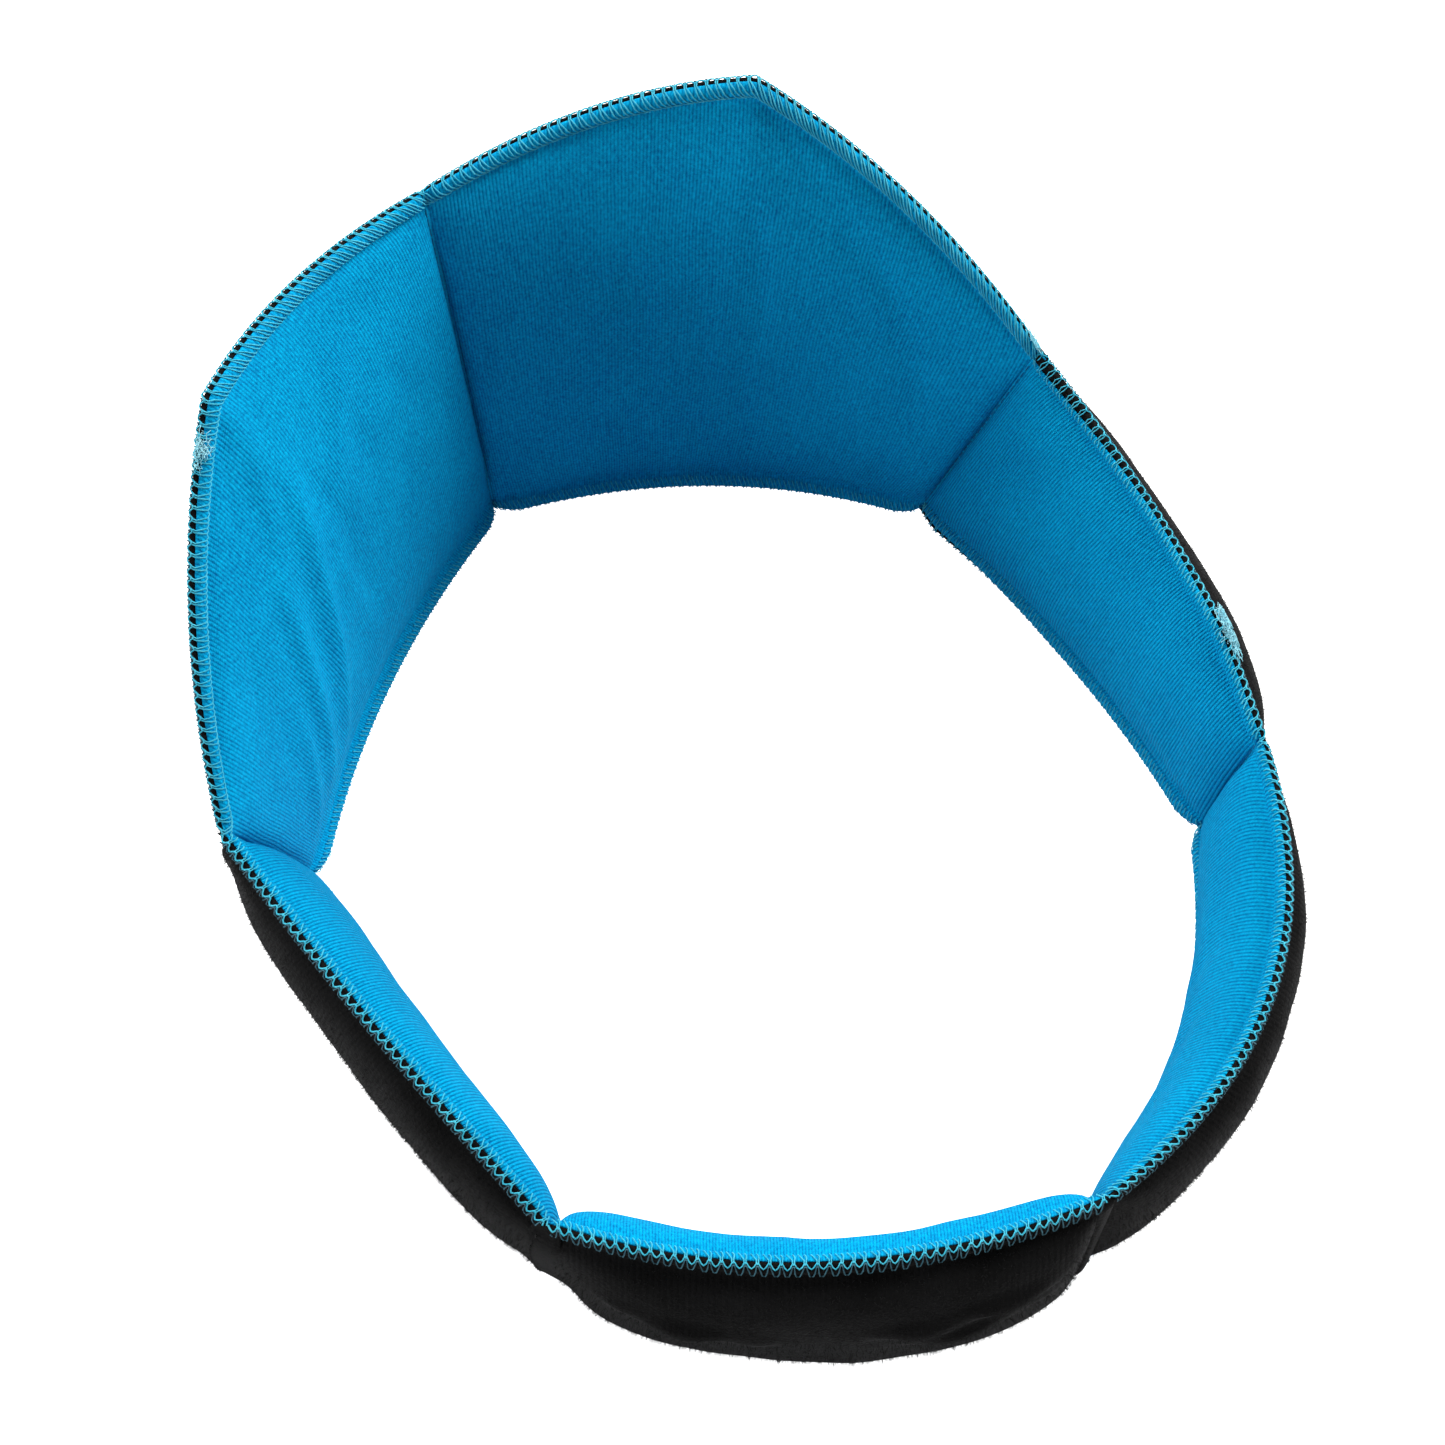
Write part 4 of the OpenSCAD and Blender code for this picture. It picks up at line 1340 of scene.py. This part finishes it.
@dataclass
class Closure:
    """The tongue on the right end pad and what it closes on, inside the left end pad."""

    shape: CollarShape
    tongue_length: float = 32 * MM
    tongue_start: float = 4.5 * MM
    margin: float = 7 * MM
    rim_margin: float = 12 * MM
    cloth: float = 0.6 * MM
    tongue_out: float = -3.1 * MM
    hook_base: float = -1.8 * MM
    hook_thickness: float = 1.2 * MM

    def patch(
        self,
        name: str,
        finish: bpy.types.Material,
        run: tuple[float, float],
        insets: tuple[float, float],
        outs: tuple[float, float],
    ) -> bpy.types.Object:
        """Flat patch along the left end pad.

        Args:
            name: the piece's name.
            finish: its material.
            run: where it starts and ends, as distances from the closure line.
            insets: distance from the neck edge and distance from the rim.
            outs: the patch's outer and inner face, as distances out from the pad's middle.

        Returns:
            The patch, with a rounded outline.
        """
        start, end = run
        rise = self.shape.seam_lengths[3] - sum(insets)

        def place(share: float, up: float) -> Vector:
            across = (start + (end - start) * share) / self.shape.pad_width
            return self.shape.place(Pad.END_LEFT, across, insets[0] + rise * up, outs[0])

        def flat(share: float, up: float) -> tuple[float, float]:
            return start + (end - start) * share, insets[0] + rise * up

        sheet = mapped_grid(14, 14, place, flat)
        piece = mesh_piece(name, sheet, finish)
        add_modifier(piece, "SOLIDIFY", thickness=outs[0] - outs[1], offset=-1.0)
        add_modifier(piece, "BEVEL", width=0.3 * MM, segments=2)
        return piece

    @property
    def tongue_height(self) -> float:
        """Height of the tongue, between its margins to the neck edge and to the rim."""
        return self.shape.seam_lengths[3] - self.margin - self.rim_margin

    def hooks(self, finish: bpy.types.Material) -> bpy.types.Object:
        """Rows of small hooks on the hook patch."""
        strands = []
        inset, pitch = 12 * MM, 1.5 * MM
        height = self.shape.seam_lengths[3] - inset - 17 * MM
        base = self.hook_base - 0.7 * self.hook_thickness
        for row in range(int(height / pitch)):
            for column in range(int((self.tongue_length - 18 * MM) / pitch)):
                x = (9.5 * MM + column * pitch) / self.shape.pad_width
                y = inset + row * pitch
                shank = [(0.0, 0.0), (0.0, -0.3), (0.25, -0.42), (0.45, -0.3)]
                spots = [(y + rise * MM, base + out * MM) for rise, out in shank]
                line = [self.shape.place(Pad.END_LEFT, x, *spot) for spot in spots]
                strands.append((line, (0.09 * MM, 0.09 * MM)))
        return thread_piece("hook_patch_hooks", strands, finish)

    def root(self, finish: bpy.types.Material) -> bpy.types.Object:
        """Thin cloth that leads the tongue from the closure line round the pad's closing edge."""
        height = self.tongue_height
        join = self.tongue_start + 1 * MM
        bend = [
            (-0.6 * MM, -0.4 * MM),
            (0.8 * MM, -2.2 * MM),
            (2.6 * MM, -3.8 * MM),
            (join, self.tongue_out - self.cloth),
        ]

        def place(share: float, up: float) -> Vector:
            places = [k / (len(bend) - 1) for k in range(len(bend))]
            x = float(np.interp(share, places, [p[0] for p in bend]))
            out = float(np.interp(share, places, [p[1] for p in bend]))
            return self.shape.place(Pad.END_LEFT, x / self.shape.pad_width, self.margin + height * up, out)

        sheet = mapped_grid(9, 12, place, lambda share, up: (share * 8 * MM, up * height))
        piece = mesh_piece("tongue_root", sheet, finish)
        add_modifier(piece, "SOLIDIFY", thickness=0.5 * MM, offset=0.0)
        return piece

    def tongue_overlock(self, finish: bpy.types.Material) -> bpy.types.Object:
        """Overlock threads round the tongue's free end."""
        height = self.tongue_height
        pitch, strands = 2 * MM, []
        outs = (self.tongue_out + 0.2 * MM, self.tongue_out - 2 * self.cloth - 0.2 * MM)
        for out in outs:
            line = []
            for k in range(int(height / pitch)):
                y = self.margin + k * pitch
                for rise, x in ((0.0, 3.0), (0.5, 0.0), (1.0, -0.3)):
                    run = (self.tongue_length + (0.4 - x) * MM) / self.shape.pad_width
                    line.append(self.shape.place(Pad.END_LEFT, run, y + rise * pitch, out))
            strands.append((line, (0.18 * MM, 0.18 * MM)))
        tip = (self.tongue_length + 0.6 * MM) / self.shape.pad_width
        steps = [self.margin + y * height for y in (0.0, 0.25, 0.5, 0.75, 1.0)]
        chain = [self.shape.place(Pad.END_LEFT, tip, y, sum(outs) / 2) for y in steps]
        strands.append((chain, (0.3 * MM, 0.3 * MM)))
        return thread_piece("tongue_overlock", strands, finish)

    def closing_edge(self, finish: bpy.types.Material) -> bpy.types.Object:
        """Turned velour edge at the left end pad's closing side, lying just over the right end pad."""
        height = self.shape.seam_lengths[3]

        def place(share: float, up: float) -> Vector:
            turn = 2 * math.pi * share
            taper = math.sqrt(max(0.0, 1 - abs(2 * up - 1) ** 6))
            x = (1.9 * math.cos(turn) - 0.1) * MM
            out = (0.4 + 1.8 * math.sin(turn) * (0.6 + 0.4 * taper)) * MM
            rise = 0.3 * MM + (height - 1.5 * MM) * up
            return self.shape.place(Pad.END_LEFT, x / self.shape.pad_width, rise, out)

        roll = mapped_grid(12, 30, place, lambda share, up: (share * 8 * MM, up * height))
        bmesh.ops.remove_doubles(roll, verts=roll.verts, dist=0.01 * MM)
        bmesh.ops.holes_fill(roll, edges=[e for e in roll.edges if e.is_boundary], sides=0)
        bmesh.ops.recalc_face_normals(roll, faces=roll.faces)
        return mesh_piece("closing_edge_roll", roll, finish)

    def dress(self, wardrobe: Wardrobe) -> list[bpy.types.Object]:
        """Builds the closure and puts the tongue on its own body and the rest on the left end pad."""
        run, insets = (self.tongue_start, self.tongue_length), (self.margin, self.rim_margin)
        near, far = self.tongue_out, self.tongue_out - self.cloth
        cover = self.patch("tongue_velour", wardrobe.velour, run, insets, (near, far))
        lining = self.patch("tongue_jersey", wardrobe.jersey, run, insets, (far, far - self.cloth))
        root = self.root(wardrobe.jersey)
        threads = self.tongue_overlock(wardrobe.thread)
        base = self.hook_base
        outs = (base, base - 0.7 * self.hook_thickness)
        tape = self.patch("hook_tape_patch", wardrobe.hooks, (8.5 * MM, 28 * MM), (11 * MM, 16 * MM), outs)
        hooks = self.hooks(wardrobe.hooks)
        roll = self.closing_edge(wardrobe.velour)
        for piece, node, slot in (
            (cover, "tongue_cover", "velour_black"),
            (lining, "tongue_lining", "jersey_blue"),
            (root, "tongue_seam", "jersey_blue"),
            (threads, "tongue_edging", "thread_aqua"),
        ):
            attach(piece, "closure_tongue")
            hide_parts(node)
        for piece, node, slot in (
            (tape, "hook_patch", "hook_tape"),
            (roll, "end_left_closing_edge", "velour_black"),
        ):
            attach(piece, Pad.END_LEFT.body)
            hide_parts(node)
        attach(hooks, Pad.END_LEFT.body)
        return [cover, lining, root, threads, tape, hooks, roll]


@dataclass
class Studio:
    """Pale floor, soft lights and the camera."""

    aim: Vector
    azimuth: float = math.radians(-34.81)
    elevation: float = math.radians(62.8)
    distance: float = 417.06 * MM
    lens: float = 51.94
    sensor: float = 36.0

    def floor(self) -> bpy.types.Object:
        """Plain floor under the collar."""
        plane = bmesh.new()
        bmesh.ops.create_grid(plane, x_segments=1, y_segments=1, size=3.0)
        bmesh.ops.translate(plane, verts=plane.verts, vec=(0, 0, -1.3 * MM))
        material = bpy.data.materials.new("floor_white")
        material.use_nodes = True
        board = NodeBoard(material.node_tree)
        shader = next(n for n in material.node_tree.nodes if n.type == "BSDF_PRINCIPLED")
        place = board.add("ShaderNodeTexCoord").outputs["Object"]
        tone = board.blend(board.speckle(place, 6.0), (0.93, 0.93, 0.93, 1), (0.96, 0.96, 0.96, 1))
        board.tree.links.new(tone, shader.inputs["Base Color"])
        shader.inputs["Roughness"].default_value = 1.0
        shader.inputs["Specular IOR Level"].default_value = 0.0
        shader.inputs["Emission Color"].default_value = (1, 1, 1, 1)
        seen = board.add("ShaderNodeLightPath").outputs["Is Camera Ray"]
        board.tree.links.new(board.calc("MULTIPLY", seen, 0.95), shader.inputs["Emission Strength"])
        floor = mesh_piece("floor", plane, material)
        floor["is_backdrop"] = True
        return floor

    def lamp(
        self, name: str, place: Vector, size: float, power: float, colour: tuple[float, float, float]
    ) -> None:
        """Square soft light that faces the collar."""
        light = bpy.data.lights.new(name, "AREA")
        light.size, light.energy, light.color = size, power, colour
        holder = bpy.data.objects.new(name, light)
        holder.location = place
        holder.rotation_euler = (self.aim - place).to_track_quat("-Z", "Y").to_euler()
        bpy.context.scene.collection.objects.link(holder)

    def camera(self) -> None:
        """Camera at the collar's usual view, from the closure side and above."""
        back = Vector(
            (
                math.sin(self.azimuth) * math.cos(self.elevation),
                -math.cos(self.azimuth) * math.cos(self.elevation),
                math.sin(self.elevation),
            )
        )
        lens = bpy.data.cameras.new("camera")
        lens.lens, lens.sensor_width = self.lens, self.sensor
        holder = bpy.data.objects.new("camera", lens)
        holder.location = self.aim + back * self.distance
        holder.rotation_euler = (-back).to_track_quat("-Z", "Y").to_euler()
        bpy.context.scene.collection.objects.link(holder)
        bpy.context.scene.camera = holder

    def build(self) -> None:
        """Builds floor, lights, surroundings and camera."""
        self.floor()
        self.lamp("key_right", self.aim + Vector((1.0, -0.05, 0.75)), 0.6, 23.0, (1.0, 0.99, 0.98))
        self.lamp("key_far", self.aim + Vector((-0.1, 1.0, 0.8)), 0.7, 16.0, (1.0, 0.99, 0.98))
        self.lamp("fill", self.aim + Vector((-1.3, 0.25, 0.6)), 0.8, 12.0, (0.97, 0.99, 1.0))
        world = bpy.data.worlds.new("surroundings")
        world.use_nodes = True
        backdrop = next(n for n in world.node_tree.nodes if n.type == "BACKGROUND")
        backdrop.inputs["Color"].default_value = (1, 1, 1, 1)
        backdrop.inputs["Strength"].default_value = 0.17
        bpy.context.scene.world = world
        bpy.context.scene.view_settings.view_transform = "Standard"
        self.camera()


# ---------------------------------------------------------------------------------------------------------
# The whole collar
# ---------------------------------------------------------------------------------------------------------


WRINKLES: dict[Pad, dict[Face, tuple[Wrinkle, ...]]] = {
    Pad.CENTRE_LEFT: {
        Face.LINING: (
            Wrinkle((0.52, 0.84), (0.26, 0.10), 0.028, 2.2 * MM),
            Wrinkle((0.38, 0.80), (0.16, 0.14), 0.028, 2.0 * MM),
            Wrinkle((0.24, 0.62), (0.08, 0.16), 0.022, 1.3 * MM),
            Wrinkle((0.74, 0.92), (0.56, 0.60), 0.030, 0.9 * MM),
        ),
    },
    Pad.END_LEFT: {
        Face.COVER: (
            Wrinkle((0.02, 0.80), (0.48, 0.66), 0.025, 3.2 * MM),
            Wrinkle((0.05, 0.64), (0.44, 0.54), 0.025, 3.0 * MM),
            Wrinkle((0.58, 0.64), (0.92, 0.76), 0.025, 3.0 * MM),
        ),
    },
    Pad.CENTRE_RIGHT: {
        Face.LINING: (
            Wrinkle((0.24, 0.86), (0.36, 0.62), 0.04, 0.5 * MM),
            Wrinkle((0.60, 0.80), (0.80, 0.70), 0.05, 0.5 * MM),
        ),
    },
}


def corners(box: tuple[Vector, Vector]) -> list[list[float]]:
    """A box's two corners as plain lists."""
    return [list(corner) for corner in box]


def main() -> None:
    """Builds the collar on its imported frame."""
    logging.basicConfig(level=logging.INFO, format="%(message)s")
    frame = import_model()
    packed = corners(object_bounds())
    joints = {joint["name"]: joint for joint in frame["joints"]}
    shape = CollarShape(Vector(joints["centre_hinge"]["pos_m"]))
    wardrobe = Wardrobe()
    bands = {Pad.SIDE_RIGHT: ROLLED_BAND}
    paddings = {
        Pad.SIDE_RIGHT: (11.0 * MM, 6.2 * MM),
        Pad.END_RIGHT: (7.6 * MM, 7.0 * MM),
        Pad.END_LEFT: (8.4 * MM, 9.0 * MM),
        Pad.SIDE_LEFT: (7.6 * MM, 7.2 * MM),
    }
    pads = []
    for pad in Pad:
        cover, lining = paddings.get(pad, (6.2 * MM, 6.2 * MM))
        folds = WRINKLES.get(pad, {})
        fullness = 8.0 if pad is Pad.END_LEFT else 5.0
        band = bands.get(pad, PLAIN_BAND)
        pads.append(PaddedPad(shape, pad, band, cover, lining, fullness=fullness, wrinkles=folds))
    cushions = [pad.cushion() for pad in pads]
    for pad, cushion in zip(pads, cushions):
        pad.start_swelling(cushion)
    for step in range(1, 21):
        bpy.context.scene.frame_set(step)
    for pad, cushion in zip(pads, cushions):
        pad.settle(cushion)
        for piece in pad.dress(cushion, wardrobe):
            LOG.info("%s: %d faces", piece.name, len(piece.data.polygons))
    for name, seam, before, after, holder in (
        ("centre_seam", 0, Pad.CENTRE_LEFT, Pad.CENTRE_RIGHT, Pad.CENTRE_RIGHT),
        ("right_shoulder_seam", 1, Pad.CENTRE_RIGHT, Pad.SIDE_RIGHT, Pad.CENTRE_RIGHT),
        ("right_end_seam", 2, Pad.SIDE_RIGHT, Pad.END_RIGHT, Pad.SIDE_RIGHT),
        ("left_end_seam", 4, Pad.END_LEFT, Pad.SIDE_LEFT, Pad.SIDE_LEFT),
        ("left_shoulder_seam", 5, Pad.SIDE_LEFT, Pad.CENTRE_LEFT, Pad.CENTRE_LEFT),
    ):
        for piece in StitchedSeam(shape, name, seam, before, after).dress(wardrobe, holder):
            LOG.info("%s: %d faces", piece.name, len(piece.data.polygons))
    for piece in Closure(shape).dress(wardrobe):
        LOG.info("%s: %d faces", piece.name, len(piece.data.polygons))
    Studio(shape.middle + Vector((0, 13.4 * MM, 40 * MM)) - Vector((0, 107.36 * MM, 0))).build()
    {"cad": packed, "visual": corners(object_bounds())}


if __name__ == "__main__":
    main()
